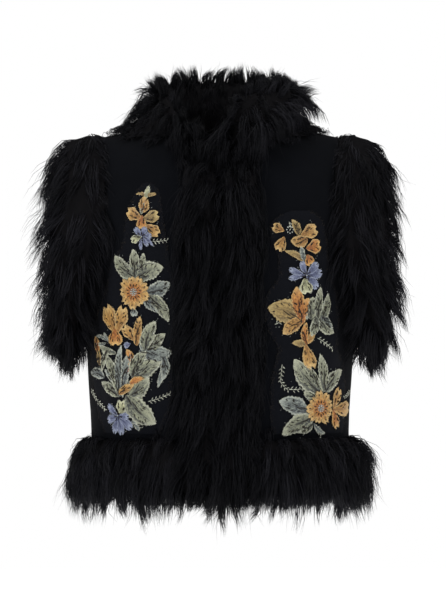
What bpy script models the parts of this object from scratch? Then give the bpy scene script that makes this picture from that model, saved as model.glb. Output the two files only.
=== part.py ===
"""A cropped vest with long-haired fur trim and floral applique sprays, worn and hollow.

Metres, +Z up, and the front faces -Y. The origin lies midway between the shoulder seams,
a little below their neck ends and above their tips, where the wearer's shoulders carry the
vest. The wearer's right is at -X.
"""

import math

import bmesh
import bpy
from mathutils import Vector

MM = 0.001
FRONT = -1
BACK = 1
RIGHT = -1
LEFT = 1

# Driving sizes of the cut
CLOTH = 2.4 * MM
SEAM_GAP = 0.3 * MM
HEM_HEIGHT = -530 * MM
ARMPIT_HEIGHT = -250 * MM
NECK_HALF = 70 * MM
NECK_END_HEIGHT = 8 * MM
SHOULDER_TIP = 178 * MM
SHOULDER_SLOPE = 0.21
CHEST_HALF = 200 * MM
FRONT_NECK_HEIGHT = -50 * MM
BACK_NECK_HEIGHT = -8 * MM

# How far below the shoulder seam the front and the back have rounded over into their walls
ROUND_OVER = {FRONT: 130 * MM, BACK: 112 * MM}

# The figure that fills the vest: half width, and depth in front of and behind the side seam
FIGURE = (
    # height, half_width, front_depth, back_depth
    (-0.610, 0.1905, 0.130, 0.114),
    (-0.530, 0.1905, 0.130, 0.113),
    (-0.430, 0.1905, 0.130, 0.110),
    (-0.350, 0.1955, 0.134, 0.112),
    (-0.250, 0.2000, 0.141, 0.116),
    (0.050, 0.2000, 0.141, 0.116),
)

# The armhole's cut: half width at each share of the way from armpit to shoulder seam
ARMHOLE_CUT = (
    # share, front_half, back_half
    (0.00, 0.2000, 0.2000),
    (0.10, 0.1900, 0.1920),
    (0.25, 0.1780, 0.1820),
    (0.45, 0.1700, 0.1750),
    (0.62, 0.1680, 0.1720),
    (0.82, 0.1710, 0.1740),
    (1.00, 0.1780, 0.1780),
)

PANEL_COLUMNS = 12
BODY_ROWS = 10
YOKE_ROWS = 12

# Soft, uneven waves of the cloth below the arms
CLOTH_WAVES = (
    # angle_deg, half_width_deg, top, foot, depth
    (64, 21, -0.245, -0.456, 0.0024),
    (-68, 22, -0.250, -0.456, 0.0022),
    (112, 20, -0.260, -0.456, 0.0034),
    (-116, 18, -0.250, -0.456, 0.0032),
    (150, 19, -0.180, -0.456, 0.0030),
    (-152, 20, -0.200, -0.456, 0.0028),
)

# Fur over the cloth's face
REST_GAP = 1.0 * MM
FRONT_STRIP_WIDTH = 56 * MM
STRIP_TOP = -56 * MM
HEM_FUR_TOP = -455 * MM
HEM_FUR_FOOT = -555 * MM
STRIP_FOOT = -550 * MM

HEM_FUR = (
    # share of the drop, stand-off
    (0.00, 0.0050),
    (0.06, 0.0160),
    (0.20, 0.0260),
    (0.42, 0.0300),
    (0.64, 0.0280),
    (0.84, 0.0200),
    (1.00, 0.0070),
)
HEM_LOCK_WIDTH = 23 * MM
HEM_LOCK_LENGTH = (6 * MM, 26 * MM)

STRIP_FUR = (
    # share of the width, stand-off
    (0.00, 0.0120),
    (0.30, 0.0210),
    (0.68, 0.0180),
    (1.00, 0.0050),
)
STRIP_ROWS = 26
STRIP_LOCK_ROWS = 4

# The collar, by the share of the way round from the right front end over the back
COLLAR = (
    # share, inner_fur, outer_fur, skirt
    (0.00, 0.007, 0.012, 0.003),
    (0.10, 0.009, 0.014, 0.005),
    (0.17, 0.010, 0.018, 0.026),
    (0.28, 0.010, 0.027, 0.086),
    (0.40, 0.010, 0.026, 0.078),
    (0.50, 0.010, 0.025, 0.066),
    (0.60, 0.010, 0.026, 0.074),
    (0.72, 0.010, 0.028, 0.078),
    (0.83, 0.010, 0.028, 0.032),
    (0.90, 0.009, 0.022, 0.006),
    (1.00, 0.007, 0.012, 0.003),
)
COLLAR_SECTIONS = 46
COLLAR_END = (
    (0, 10, 9), (0, 9, 8), (0, 8, 7), (0, 7, 6), (0, 6, 5), (0, 5, 1), (1, 5, 4), (1, 4, 2),
    (2, 4, 3),
)
COLLAR_CENTRE = (0.000, -0.012)
COLLAR_TOP_RADII = (0.086, 0.090)
COLLAR_TOP_ENDS_DEG = (-50, 14)
COLLAR_TOP = (
    # share, height
    (0.00, 0.034),
    (0.14, 0.056),
    (0.30, 0.067),
    (0.50, 0.070),
    (0.75, 0.064),
    (0.90, 0.050),
    (1.00, 0.036),
)

# Fur of the armhole: out is sideways, lift is away from the armhole's middle, drop is down
ARMHOLE_FUR = {
    # point of the section: rows of angle from the shoulder, out, lift, drop
    "crown": (
        (0, 0.022, 0.010, 0.000),
        (45, 0.024, 0.015, 0.004),
        (90, 0.024, 0.022, 0.010),
        (135, 0.020, 0.028, 0.012),
        (180, 0.004, 0.036, 0.000),
    ),
    "swell": (
        (0, 0.050, 0.007, 0.006),
        (45, 0.056, 0.016, 0.016),
        (90, 0.062, 0.026, 0.030),
        (135, 0.048, 0.038, 0.046),
        (180, 0.006, 0.074, 0.000),
    ),
    "tip": (
        (0, 0.067, 0.000, 0.036),
        (45, 0.080, 0.004, 0.052),
        (90, 0.086, 0.010, 0.068),
        (135, 0.066, 0.032, 0.082),
        (180, 0.020, 0.094, 0.000),
    ),
    "hollow": (
        (0, 0.048, -0.006, 0.018),
        (45, 0.052, -0.006, 0.026),
        (90, 0.056, -0.003, 0.036),
        (135, 0.058, 0.010, 0.040),
        (180, 0.044, 0.060, 0.000),
    ),
    "throat": (
        (0, 0.024, -0.009, 0.004),
        (45, 0.024, -0.008, 0.007),
        (90, 0.024, -0.004, 0.012),
        (135, 0.028, -0.003, 0.008),
        (180, 0.036, 0.014, 0.000),
    ),
}
ARMHOLE_STATIONS = 48
ARMHOLE_LOCK = 13 * MM

# Applique sprays: the dark ground that carries the embroidered motifs
GROUND_GAP = 0.5 * MM
GROUND = 0.6 * MM
MOTIF = 0.9 * MM
MOTIF_DOME = 0.2 * MM
LAYER_GAP = 0.4 * MM
GROUND_COLUMNS = 8
GROUND_OUTLINE = {
    RIGHT: (
        # height, near the fur, near the side seam: distances along the cloth from the middle
        (-0.084, 0.094, 0.120),
        (-0.102, 0.087, 0.131),
        (-0.127, 0.084, 0.142),
        (-0.153, 0.081, 0.146),
        (-0.176, 0.076, 0.150),
        (-0.198, 0.074, 0.174),
        (-0.222, 0.068, 0.176),
        (-0.250, 0.062, 0.188),
        (-0.276, 0.061, 0.204),
        (-0.304, 0.068, 0.222),
        (-0.334, 0.067, 0.226),
        (-0.369, 0.070, 0.222),
        (-0.398, 0.070, 0.214),
        (-0.427, 0.078, 0.202),
        (-0.448, 0.089, 0.186),
    ),
    LEFT: (
        (-0.124, 0.094, 0.148),
        (-0.142, 0.074, 0.160),
        (-0.167, 0.073, 0.168),
        (-0.192, 0.086, 0.170),
        (-0.222, 0.086, 0.174),
        (-0.244, 0.068, 0.188),
        (-0.275, 0.064, 0.192),
        (-0.300, 0.072, 0.190),
        (-0.324, 0.086, 0.188),
        (-0.346, 0.080, 0.206),
        (-0.377, 0.074, 0.212),
        (-0.406, 0.074, 0.218),
        (-0.432, 0.073, 0.216),
        (-0.448, 0.079, 0.206),
    ),
}

# Motifs: distance along the cloth from the middle, height, half length, half width, turn
# in degrees from upright towards the side seam, and the layer that each is stitched in
MOTIFS = {
    RIGHT: (
        # name, kind, along, height, half_length, half_width, turn, layer
        ("bud_top", "leaf", 0.106, -0.096, 0.0075, 0.0048, 0, 0),
        ("bud_calyx", "leaf", 0.112, -0.114, 0.0088, 0.0062, 8, 0),
        ("petals_top", "flower4", 0.114, -0.142, 0.0165, 0.0190, 20, 0),
        ("blue_top", "flower6", 0.115, -0.166, 0.0150, 0.0155, 10, 1),
        ("leaf_crown", "lobed3", 0.121, -0.208, 0.0240, 0.0300, 0, 0),
        ("orange_bloom", "flower8", 0.128, -0.242, 0.0230, 0.0230, 0, 1),
        ("leaf_inner_high", "leaf", 0.086, -0.238, 0.0160, 0.0095, -80, 0),
        ("leaf_inner_low", "leaf", 0.088, -0.264, 0.0230, 0.0100, -120, 0),
        ("ochre_pansy", "flower3", 0.163, -0.285, 0.0270, 0.0205, 200, 0),
        ("ochre_petal", "leaf", 0.128, -0.288, 0.0170, 0.0105, -8, 0),
        ("leaf_inner_maple", "lobed3", 0.098, -0.299, 0.0220, 0.0185, -20, 0),
        ("bud_side_high", "leaf", 0.203, -0.309, 0.0110, 0.0058, 10, 0),
        ("bud_side_low", "leaf", 0.196, -0.331, 0.0088, 0.0045, 0, 0),
        ("leaf_fall_outer", "leaf", 0.190, -0.354, 0.0125, 0.0070, 40, 0),
        ("leaf_fall_mid", "leaf", 0.161, -0.350, 0.0330, 0.0120, 12, 0),
        ("leaf_broad", "lobed3", 0.104, -0.343, 0.0235, 0.0230, 250, 0),
        ("leaf_side", "leaf", 0.187, -0.379, 0.0125, 0.0068, 48, 0),
        ("orange_fleck", "leaf", 0.137, -0.367, 0.0120, 0.0052, -50, 0),
        ("leaf_low", "leaf", 0.118, -0.373, 0.0150, 0.0088, -10, 0),
        ("leaf_foot", "leaf", 0.107, -0.413, 0.0240, 0.0122, -155, 0),
        ("blue_foot", "flower6", 0.153, -0.417, 0.0215, 0.0195, 0, 0),
    ),
    LEFT: (
        ("petal_inner", "leaf", 0.085, -0.151, 0.0085, 0.0072, -80, 0),
        ("petal_inner_low", "leaf", 0.088, -0.173, 0.0100, 0.0078, -140, 0),
        ("petals_top", "flower4", 0.124, -0.163, 0.0260, 0.0215, 20, 0),
        ("blue_bloom", "flower6", 0.130, -0.215, 0.0215, 0.0225, 15, 0),
        ("ochre_maple", "lobed5", 0.100, -0.266, 0.0290, 0.0265, -20, 0),
        ("leaf_bud", "leaf", 0.138, -0.258, 0.0135, 0.0076, -5, 0),
        ("leaf_tall", "leaf", 0.161, -0.262, 0.0240, 0.0110, 8, 0),
        ("leaf_spur", "lobed3", 0.156, -0.304, 0.0170, 0.0150, 150, 0),
        ("ochre_sprig", "lobed3", 0.118, -0.310, 0.0140, 0.0140, 0, 0),
        ("ochre_drop", "leaf", 0.127, -0.337, 0.0140, 0.0090, -10, 0),
        ("leaf_crown", "lobed3", 0.145, -0.375, 0.0310, 0.0320, 4, 0),
        ("orange_bloom", "flower8", 0.153, -0.411, 0.0235, 0.0230, 10, 1),
        ("ochre_pansy", "flower4", 0.195, -0.411, 0.0240, 0.0140, 0, 0),
        ("leaf_inner_high", "leaf", 0.104, -0.403, 0.0200, 0.0110, -80, 0),
        ("leaf_inner_low", "leaf", 0.104, -0.429, 0.0240, 0.0115, -108, 0),
    ),
}


def from_table(table, at, column=1):
    """A smooth value from a table's column, read at a value of its first column."""
    rows = sorted(table)
    if at <= rows[0][0]:
        return rows[0][column]
    if at >= rows[-1][0]:
        return rows[-1][column]
    upper = next(i for i, row in enumerate(rows) if row[0] >= at)
    low, high = rows[upper - 1], rows[upper]
    before = rows[max(0, upper - 2)]
    after = rows[min(len(rows) - 1, upper + 1)]
    span = high[0] - low[0]
    slope_low = (high[column] - before[column]) / (high[0] - before[0]) * span
    slope_high = (after[column] - low[column]) / (after[0] - low[0]) * span
    t = (at - low[0]) / span
    t2 = t * t
    t3 = t2 * t
    return (
        (2 * t3 - 3 * t2 + 1) * low[column]
        + (t3 - 2 * t2 + t) * slope_low
        + (3 * t2 - 2 * t3) * high[column]
        + (t3 - t2) * slope_high
    )


def uneven(number, seed=0):
    """A fixed value from 0 to 1 that differs for each number, for natural unevenness."""
    wave = math.sin(number * 12.9898 + seed * 78.233) * 43758.5453
    return wave - math.floor(wave)


def smooth_step(value):
    value = min(1.0, max(0.0, value))
    return value * value * (3 - 2 * value)


def half_width(height):
    return from_table(FIGURE, height, 1)


def depth(height, side):
    return from_table(FIGURE, height, 2 if side == FRONT else 3)


def shoulder_height(x):
    return NECK_END_HEIGHT - SHOULDER_SLOPE * max(0.0, abs(x) - NECK_HALF)


def wave_depth(x, y, z):
    """How far the cloth's soft waves lift it at a point."""
    angle = math.degrees(math.atan2(x, -y))
    lift = 0.0
    for middle, spread, top, foot, height in CLOTH_WAVES:
        across = abs((angle - middle + 180) % 360 - 180) / spread
        if across >= 1 or not foot < z < top:
            continue
        along = smooth_step((top - z) / 0.08) * smooth_step((z - foot) / 0.08)
        lift += height * along * math.cos(across * math.pi / 2) ** 2
    return lift


def torso_level(point):
    """Zero on the cloth's outer face, negative inside it."""
    x, y, z = point
    side = FRONT if y < 0 else BACK
    across = (x / half_width(z)) ** 2
    through = (y / depth(z, side)) ** 2
    under = min(1.0, (shoulder_height(x) - z) / ROUND_OVER[side])
    return across + through + (1 - under) ** 2 * (1 - across) - 1


def torso_normal(point):
    """The outward direction of the cloth's face at a point."""
    step = 0.0002
    slope = []
    for axis in range(3):
        ahead = list(point)
        behind = list(point)
        ahead[axis] += step
        behind[axis] -= step
        slope.append(torso_level(ahead) - torso_level(behind))
    return Vector(slope).normalized()


def torso_point(x, z, side):
    """A point of the cloth's outer face, front or back, at a place seen from the front."""
    across = max(0.0, 1 - (x / half_width(z)) ** 2) ** 0.5
    under = min(1.0, max(0.0, (shoulder_height(x) - z) / ROUND_OVER[side]))
    rise = (1 - (1 - under) ** 2) ** 0.5
    y = side * max(SEAM_GAP / 2, depth(z, side) * across * rise)
    point = Vector((x, y, z))
    if abs(y) > SEAM_GAP:
        point += torso_normal(point) * wave_depth(x, y, z)
    return point


def lifted(point, distance):
    """The point moved out from the cloth's face, or in where the distance is negative."""
    return point + torso_normal(point) * distance


def front_arc(height, side=FRONT, steps=60):
    """Distances along the cloth from the middle, and the x of each, at one height."""
    lengths = [0.0]
    places = [0.0]
    last = None
    for i in range(steps + 1):
        x = half_width(height) * math.sin(math.pi / 2 * i / steps)
        point = torso_point(x, height, side)
        if last is not None:
            lengths.append(lengths[-1] + (point - last).length)
            places.append(x)
        last = point
    return lengths, places


def x_along(distance, height):
    """The x of the front at a distance along the cloth from the middle."""
    lengths, places = front_arc(height)
    for i in range(1, len(lengths)):
        if lengths[i] >= distance:
            share = (distance - lengths[i - 1]) / (lengths[i] - lengths[i - 1])
            return places[i - 1] + share * (places[i] - places[i - 1])
    return places[-1]


def material(name, colour, roughness, metallic=0.0):
    made = bpy.data.materials.new(name)
    made.use_nodes = True
    shader = made.node_tree.nodes["Principled BSDF"]
    shader.inputs["Base Color"].default_value = (*colour, 1.0)
    shader.inputs["Roughness"].default_value = roughness
    shader.inputs["Metallic"].default_value = metallic
    made.diffuse_color = (*colour, 1.0)
    return made


def make_object(name, shape, finish, smooth=True):
    """A named object from a closed bmesh, its faces turned outwards."""
    bmesh.ops.triangulate(shape, faces=shape.faces)
    bmesh.ops.recalc_face_normals(shape, faces=shape.faces)
    if shape.calc_volume(signed=True) < 0:
        bmesh.ops.reverse_faces(shape, faces=shape.faces)
    mesh = bpy.data.meshes.new(name)
    shape.to_mesh(mesh)
    shape.free()
    mesh.materials.append(finish)
    made = bpy.data.objects.new(name, mesh)
    bpy.context.scene.collection.objects.link(made)
    if smooth:
        mesh.shade_smooth()
        mesh.set_sharp_from_angle(angle=math.radians(50))
    return made


def wall(name, outer, inner, finish):
    """A closed wall between two grids of points with the same rows and columns."""
    shape = bmesh.new()
    rows = len(outer)
    columns = len(outer[0])
    out = [[shape.verts.new(p) for p in row] for row in outer]
    into = [[shape.verts.new(p) for p in row] for row in inner]
    for i in range(rows - 1):
        for j in range(columns - 1):
            shape.faces.new((out[i][j], out[i][j + 1], out[i + 1][j + 1], out[i + 1][j]))
            shape.faces.new((into[i][j], into[i + 1][j], into[i + 1][j + 1], into[i][j + 1]))
    for i in range(rows - 1):
        for j in (0, columns - 1):
            shape.faces.new((out[i][j], out[i + 1][j], into[i + 1][j], into[i][j]))
    for j in range(columns - 1):
        for i in (0, rows - 1):
            shape.faces.new((out[i][j], out[i][j + 1], into[i][j + 1], into[i][j]))
    return make_object(name, shape, finish)


def loft(name, sections, finish, closed):
    """A closed solid through sections that have the same number of points."""
    shape = bmesh.new()
    rings = [[shape.verts.new(p) for p in section] for section in sections]
    count = len(rings[0])
    pairs = list(zip(rings, rings[1:]))
    if closed:
        pairs.append((rings[-1], rings[0]))
    for first, second in pairs:
        for k in range(count):
            n = (k + 1) % count
            shape.faces.new((first[k], first[n], second[n], second[k]))
    for ring in () if closed else (rings[0], rings[-1]):
        for corners in COLLAR_END:
            shape.faces.new([ring[k] for k in corners])
    return make_object(name, shape, finish)


def yoke_share(t):
    """The share of the height from armpit to shoulder at a row above the armpit."""
    return math.sin(math.pi / 2 * t)


def neck_start(side):
    """The row share above the armpit at which the neckline begins."""
    low = FRONT_NECK_HEIGHT if side == FRONT else BACK_NECK_HEIGHT
    return math.asin((low - ARMPIT_HEIGHT) / (NECK_END_HEIGHT - ARMPIT_HEIGHT)) * 2 / math.pi


def neck_x(t, side):
    """The neckline's half width at a row share above the armpit."""
    start = neck_start(side)
    share = min(1.0, max(0.0, (t - start) / (1 - start)))
    return NECK_HALF * (1 - (1 - share) ** 2) ** 0.5


def yoke_point(x, t, side):
    """A point of the cloth above the armpit, at a row share."""
    z = ARMPIT_HEIGHT + (shoulder_height(x) - ARMPIT_HEIGHT) * yoke_share(t)
    return torso_point(x, z, side)


def armhole_x(t, side):
    return from_table(ARMHOLE_CUT, yoke_share(t), 1 if side == FRONT else 2)


def yoke_rows(side):
    """Row shares above the armpit, one of them where the neckline begins."""
    start = neck_start(side)
    below = max(2, round(YOKE_ROWS * start))
    above = YOKE_ROWS - below + 2
    shares = [start * i / below for i in range(1, below + 1)]
    shares += [start + (1 - start) * i / above for i in range(1, above + 1)]
    return shares


def panel_grid(side, hand):
    """The outer points of half a front or half the back, from hem to shoulder."""
    edge = SEAM_GAP / 2 if side == FRONT else 0.0
    rows = []
    for i in range(BODY_ROWS + 1):
        z = HEM_HEIGHT + (ARMPIT_HEIGHT - HEM_HEIGHT) * i / BODY_ROWS
        row = []
        for j in range(PANEL_COLUMNS + 1):
            angle = math.pi / 2 * j / PANEL_COLUMNS
            x = max(edge, half_width(z) * math.sin(angle))
            row.append(torso_point(hand * x, z, side))
        rows.append(row)
    for t in yoke_rows(side):
        inner = math.asin(max(edge, neck_x(t, side)) / CHEST_HALF)
        outer = math.asin(armhole_x(t, side) / CHEST_HALF)
        row = []
        for j in range(PANEL_COLUMNS + 1):
            angle = inner + (outer - inner) * j / PANEL_COLUMNS
            row.append(yoke_point(hand * CHEST_HALF * math.sin(angle), t, side))
        rows.append(row)
    return rows


def cloth_wall(name, grid, finish):
    inner = [[lifted(p, -CLOTH) for p in row] for row in grid]
    return wall(name, grid, inner, finish)


def make_fronts(finish):
    for hand, word in ((RIGHT, "right"), (LEFT, "left")):
        cloth_wall(f"front_{word}", panel_grid(FRONT, hand), finish)


def make_back(finish):
    """The back is one panel, with its neckline notch closed by one face strip a side."""
    right = panel_grid(BACK, RIGHT)
    left = panel_grid(BACK, LEFT)
    split = BODY_ROWS + 1 + round(YOKE_ROWS * neck_start(BACK))
    shape = bmesh.new()
    made = {}

    def vertex(hand, i, j, layer):
        key = (0 if j == 0 and i < split else hand, i, j, layer)
        if key not in made:
            point = (right if hand == RIGHT else left)[i][j]
            made[key] = shape.verts.new(lifted(point, -CLOTH * layer))
        return made[key]

    rows = len(right)
    for hand in (RIGHT, LEFT):
        def corners(steps, layers):
            return [vertex(hand, i, j, k) for (i, j), k in zip(steps, layers)]

        for i in range(rows - 1):
            for j in range(PANEL_COLUMNS):
                cell = ((i, j), (i, j + 1), (i + 1, j + 1), (i + 1, j))
                shape.faces.new(corners(cell, (0, 0, 0, 0)))
                shape.faces.new(corners(cell, (1, 1, 1, 1)))
            side = ((i, PANEL_COLUMNS), (i + 1, PANEL_COLUMNS), (i + 1, PANEL_COLUMNS))
            shape.faces.new(corners((*side, (i, PANEL_COLUMNS)), (0, 0, 1, 1)))
            if i >= split - 1:
                shape.faces.new(corners(((i, 0), (i + 1, 0), (i + 1, 0), (i, 0)), (0, 0, 1, 1)))
        for j in range(PANEL_COLUMNS):
            for i in (0, rows - 1):
                edge = ((i, j), (i, j + 1), (i, j + 1), (i, j))
                shape.faces.new(corners(edge, (0, 0, 1, 1)))
    make_object("back", shape, finish)


def body_path(height, start_x, end_x, sides, spacing):
    """Places round the body at one height, as x and side, at even steps along the cloth."""
    dense = []
    for side, first, last in sides:
        for i in range(181):
            angle = first + (last - first) * i / 180
            dense.append((math.sin(angle), side))
    points = [torso_point(share * half_width(height), height, side) for share, side in dense]
    lengths = [0.0]
    for a, b in zip(points, points[1:]):
        lengths.append(lengths[-1] + (b - a).length)
    begin = next(k for k, p in enumerate(points) if abs(p.x - start_x) < 0.0025)
    finish = max(k for k, p in enumerate(points) if abs(p.x - end_x) < 0.0025)
    count = max(2, round((lengths[finish] - lengths[begin]) / spacing))
    count += count % 2
    found = []
    for n in range(count + 1):
        at = lengths[begin] + (lengths[finish] - lengths[begin]) * n / count
        k = min(range(begin, finish + 1), key=lambda q: abs(lengths[q] - at))
        found.append(dense[k])
    found[0] = (start_x / half_width(height), found[0][1])
    found[-1] = (end_x / half_width(height), found[-1][1])
    return found


def hem_lock(number, seed):
    """How far a lock of the hem hangs below the fur's dense edge."""
    if number % 2 == 0:
        return 0.0
    low, high = HEM_LOCK_LENGTH
    return low + (high - low) * uneven(number, seed) ** 1.5


def make_hem_fur(finish):
    quarter = math.pi / 2
    side_gap = 0.4 * MM
    inner_x = FRONT_STRIP_WIDTH + 1.2 * MM
    widest = half_width(HEM_FUR_FOOT)
    pieces = (
        ("fur_hem_right", -inner_x, -widest, ((FRONT, 0, -quarter),), 3),
        ("fur_hem_back", -widest, widest, ((BACK, -quarter, quarter),), 7),
        ("fur_hem_left", inner_x, widest, ((FRONT, 0, quarter),), 11),
    )
    for name, start_x, end_x, sides, seed in pieces:
        places = body_path(HEM_HEIGHT, start_x, end_x, sides, HEM_LOCK_WIDTH / 2)
        outer, inner = [], []
        for n, (share, side) in enumerate(places):
            foot = HEM_FUR_FOOT - hem_lock(n, seed)
            swell = 1 + 0.16 * (uneven(n, seed + 1) - 0.5) + (0.06 if n % 2 else -0.06)
            out_row, in_row = [], []
            for drop, stand in HEM_FUR:
                z = HEM_FUR_TOP + (foot - HEM_FUR_TOP) * drop
                point = torso_point(share * half_width(z), z, side)
                point.y = side * max(abs(point.y), side_gap)
                in_row.append(lifted(point, REST_GAP))
                out_row.append(lifted(point, REST_GAP + stand * swell))
            outer.append(out_row)
            inner.append(in_row)
        for row in (*outer, *inner):
            for point in row:
                point.y = side_clear(point.y, side_gap, pieces_side(sides))
        wall(name, outer, inner, finish)


def pieces_side(sides):
    return sides[0][0]


def side_clear(y, gap, side):
    """Keeps a piece of the front or back clear of its neighbour at the side seam."""
    return side * max(side * y, gap)


def make_strips(finish):
    """The fur along both front edges, from the collar to the hem."""
    first = SEAM_GAP + REST_GAP
    for hand, word, seed in ((RIGHT, "right", 21), (LEFT, "left", 34)):
        outer, inner = [], []
        for share, stand in STRIP_FUR:
            x = first + (FRONT_STRIP_WIDTH - first) * share
            out_row, in_row = [], []
            for i in range(STRIP_ROWS + 1):
                down = i / STRIP_ROWS
                lock = (i + round(share * 2)) % STRIP_LOCK_ROWS / STRIP_LOCK_ROWS
                relief = 0.80 + 0.34 * lock + 0.10 * (uneven(i, seed + share) - 0.5)
                top = smooth_step(down / 0.05)
                tip = 16 * MM * uneven(round(share * 3), seed) if i == STRIP_ROWS else 0.0
                z = STRIP_TOP + (STRIP_FOOT - STRIP_TOP) * down - tip
                point = torso_point(hand * x, z, FRONT)
                in_row.append(lifted(point, REST_GAP))
                drop = (HEM_FUR_TOP - z) / (HEM_FUR_TOP - HEM_FUR_FOOT)
                hem = from_table(HEM_FUR, drop) if drop > 0 else 0.0
                rise = 3 * MM + (stand * relief - 3 * MM) * top
                out_row.append(lifted(point, REST_GAP + max(rise, hem * 0.88)))
            outer.append(out_row)
            inner.append(in_row)
        wall(f"fur_front_{word}", outer, inner, finish)


def neckline(steps=40):
    """The neck edge from the right front end, over the back, to the left front end."""
    def half(side, hand):
        start = neck_start(side)
        rows = [start + (1 - start) * (i / steps) ** 2 for i in range(steps + 1)]
        return [yoke_point(hand * max(SEAM_GAP, neck_x(t, side)), t, side) for t in rows]

    right = half(FRONT, RIGHT) + half(BACK, RIGHT)[::-1]
    left = half(BACK, LEFT) + half(FRONT, LEFT)[::-1]
    return right + left


def resample(points, count):
    """Points at even steps along a line."""
    lengths = [0.0]
    for a, b in zip(points, points[1:]):
        lengths.append(lengths[-1] + (b - a).length)
    found = []
    k = 0
    for n in range(count + 1):
        at = lengths[-1] * n / count
        while k < len(points) - 2 and lengths[k + 1] < at:
            k += 1
        span = max(1e-9, lengths[k + 1] - lengths[k])
        found.append(points[k].lerp(points[k + 1], min(1.0, (at - lengths[k]) / span)))
    return found


def walk(point, direction, distance, steps=8):
    """Where one gets by walking over the cloth from a point, keeping a direction."""
    for _ in range(steps if distance > 0 else 0):
        normal = torso_normal(point)
        ahead = (direction - normal * direction.dot(normal)).normalized()
        point = point + ahead * (distance / steps)
        for _ in range(3):
            point = point - torso_normal(point) * torso_level(point) * 0.04
    return settle(point)


def settle(point):
    """The nearest point of the cloth's face, found by small steps along its normal."""
    normal = torso_normal(point)
    low, high = -0.02, 0.02
    for _ in range(30):
        middle = (low + high) / 2
        if torso_level(point + normal * middle) < 0:
            low = middle
        else:
            high = middle
    return point + normal * middle


def make_collar(finish):
    """A standing collar, furred on both faces, whose outer fur falls over the shoulders."""
    bases = resample(neckline(), COLLAR_SECTIONS)
    first, last = (math.radians(a) for a in COLLAR_TOP_ENDS_DEG)
    middle = Vector((*COLLAR_CENTRE, 0))
    sections = []
    for n, base in enumerate(bases):
        share = n / COLLAR_SECTIONS
        inner_fur = from_table(COLLAR, share, 1)
        outer_fur = from_table(COLLAR, share, 2)
        skirt = from_table(COLLAR, share, 3)
        angle = first - (2 * math.pi + first - last) * share
        top = Vector((
            COLLAR_CENTRE[0] + COLLAR_TOP_RADII[0] * math.sin(angle),
            COLLAR_CENTRE[1] - COLLAR_TOP_RADII[1] * math.cos(angle),
            from_table(COLLAR_TOP, share),
        ))
        away = Vector((base.x - middle.x, base.y - middle.y, 0)).normalized()
        top_away = Vector((top.x - middle.x, top.y - middle.y, 0)).normalized()
        normal = torso_normal(base)
        neckward = (normal * away.dot(normal) - away).normalized()
        lock = 1 + 0.12 * (1 if n % 2 else -1) + 0.2 * (uneven(n, 5) - 0.5)
        waist = base.lerp(top, 0.45)
        tip = walk(base, away, skirt * lock)
        mid = walk(base, away, skirt * 0.5)
        over = 4 * MM + 18 * MM * smooth_step(skirt / 0.06)
        sections.append([
            base + neckward * inner_fur * 0.8 + normal * 1.5 * MM,
            waist - away * inner_fur * 1.2,
            top - top_away * inner_fur,
            top + Vector((0, 0, 8 * MM * lock)) + top_away * inner_fur * 0.4,
            top + top_away * outer_fur * 0.95,
            waist + away.lerp(top_away, 0.25).normalized() * outer_fur * 1.7,
            lifted(mid, REST_GAP + over),
            lifted(tip, REST_GAP + 5.0 * MM),
            lifted(tip, REST_GAP + 1.8 * MM),
            lifted(mid, REST_GAP + 3.2 * MM * smooth_step(skirt / 0.04) + 0.6 * MM),
            lifted(base, REST_GAP + 1.6 * MM),
        ])
    return loft("fur_collar", sections, finish, closed=False)


def armhole_edge(hand, steps=40):
    """The armhole's edge as a closed line, down the front and up the back."""
    front = [yoke_point(hand * armhole_x(1 - i / steps, FRONT), 1 - i / steps, FRONT)
             for i in range(steps + 1)]
    back = [yoke_point(hand * armhole_x(i / steps, BACK), i / steps, BACK)
            for i in range(steps + 1)]
    return front + back


def make_armhole_fur(finish):
    """A ring of long fur round each armhole, which falls outwards and down."""
    for hand, word, seed in ((RIGHT, "right", 41), (LEFT, "left", 57)):
        edge = resample(armhole_edge(hand), ARMHOLE_STATIONS)[:-1]
        middle = sum(edge, Vector()) / len(edge)
        sections = []
        for n, root in enumerate(edge):
            lift = Vector((0, root.y - middle.y, root.z - middle.z)).normalized()
            angle = math.degrees(math.acos(max(-1.0, min(1.0, lift.z))))
            lock = ARMHOLE_LOCK * (uneven(n, seed) + (0.6 if n % 2 else -0.8))
            along = edge[(n + 1) % len(edge)] - edge[n - 1]
            normal = torso_normal(root)
            clothward = along.cross(normal).normalized()
            if clothward.dot(middle - root) > 0:
                clothward = -clothward

            def place(word):
                table = ARMHOLE_FUR[word]
                out = from_table(table, angle, 1)
                away = from_table(table, angle, 2)
                drop = from_table(table, angle, 3)
                return root + Vector((hand * out, 0, -drop)) + lift * away

            tip = place("tip")
            fall = (tip - place("throat")).normalized()
            sections.append([
                lifted(settle(root + clothward * 7 * MM), REST_GAP),
                place("crown") + lift * lock * 0.12,
                place("swell") + lift * lock * 0.22,
                tip + fall * lock,
                place("hollow"),
                place("throat"),
                root + normal * REST_GAP - clothward * 1.5 * MM,
            ])
        loft(f"fur_armhole_{word}", sections, finish, closed=True)


def ground_point(hand, along, height, off):
    x = x_along(along, height)
    return lifted(torso_point(hand * x, height, FRONT), off)


def make_grounds(finish):
    """The dark ground of each spray, with an uneven edge cut close to its motifs."""
    for hand, word in ((RIGHT, "right"), (LEFT, "left")):
        table = GROUND_OUTLINE[hand]
        heights = []
        for (upper, *_), (lower, *_) in zip(table, table[1:]):
            heights += [upper, (upper + lower) / 2]
        heights.append(table[-1][0])
        low, high = [], []
        for height in heights:
            near = from_table(table, height, 1)
            far = from_table(table, height, 2)
            row = [near + (far - near) * j / GROUND_COLUMNS for j in range(GROUND_COLUMNS + 1)]
            low.append([ground_point(hand, s, height, GROUND_GAP) for s in row])
            high.append([ground_point(hand, s, height, GROUND_GAP + GROUND) for s in row])
        wall(f"applique_ground_{word}", high, low, finish)


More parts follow.
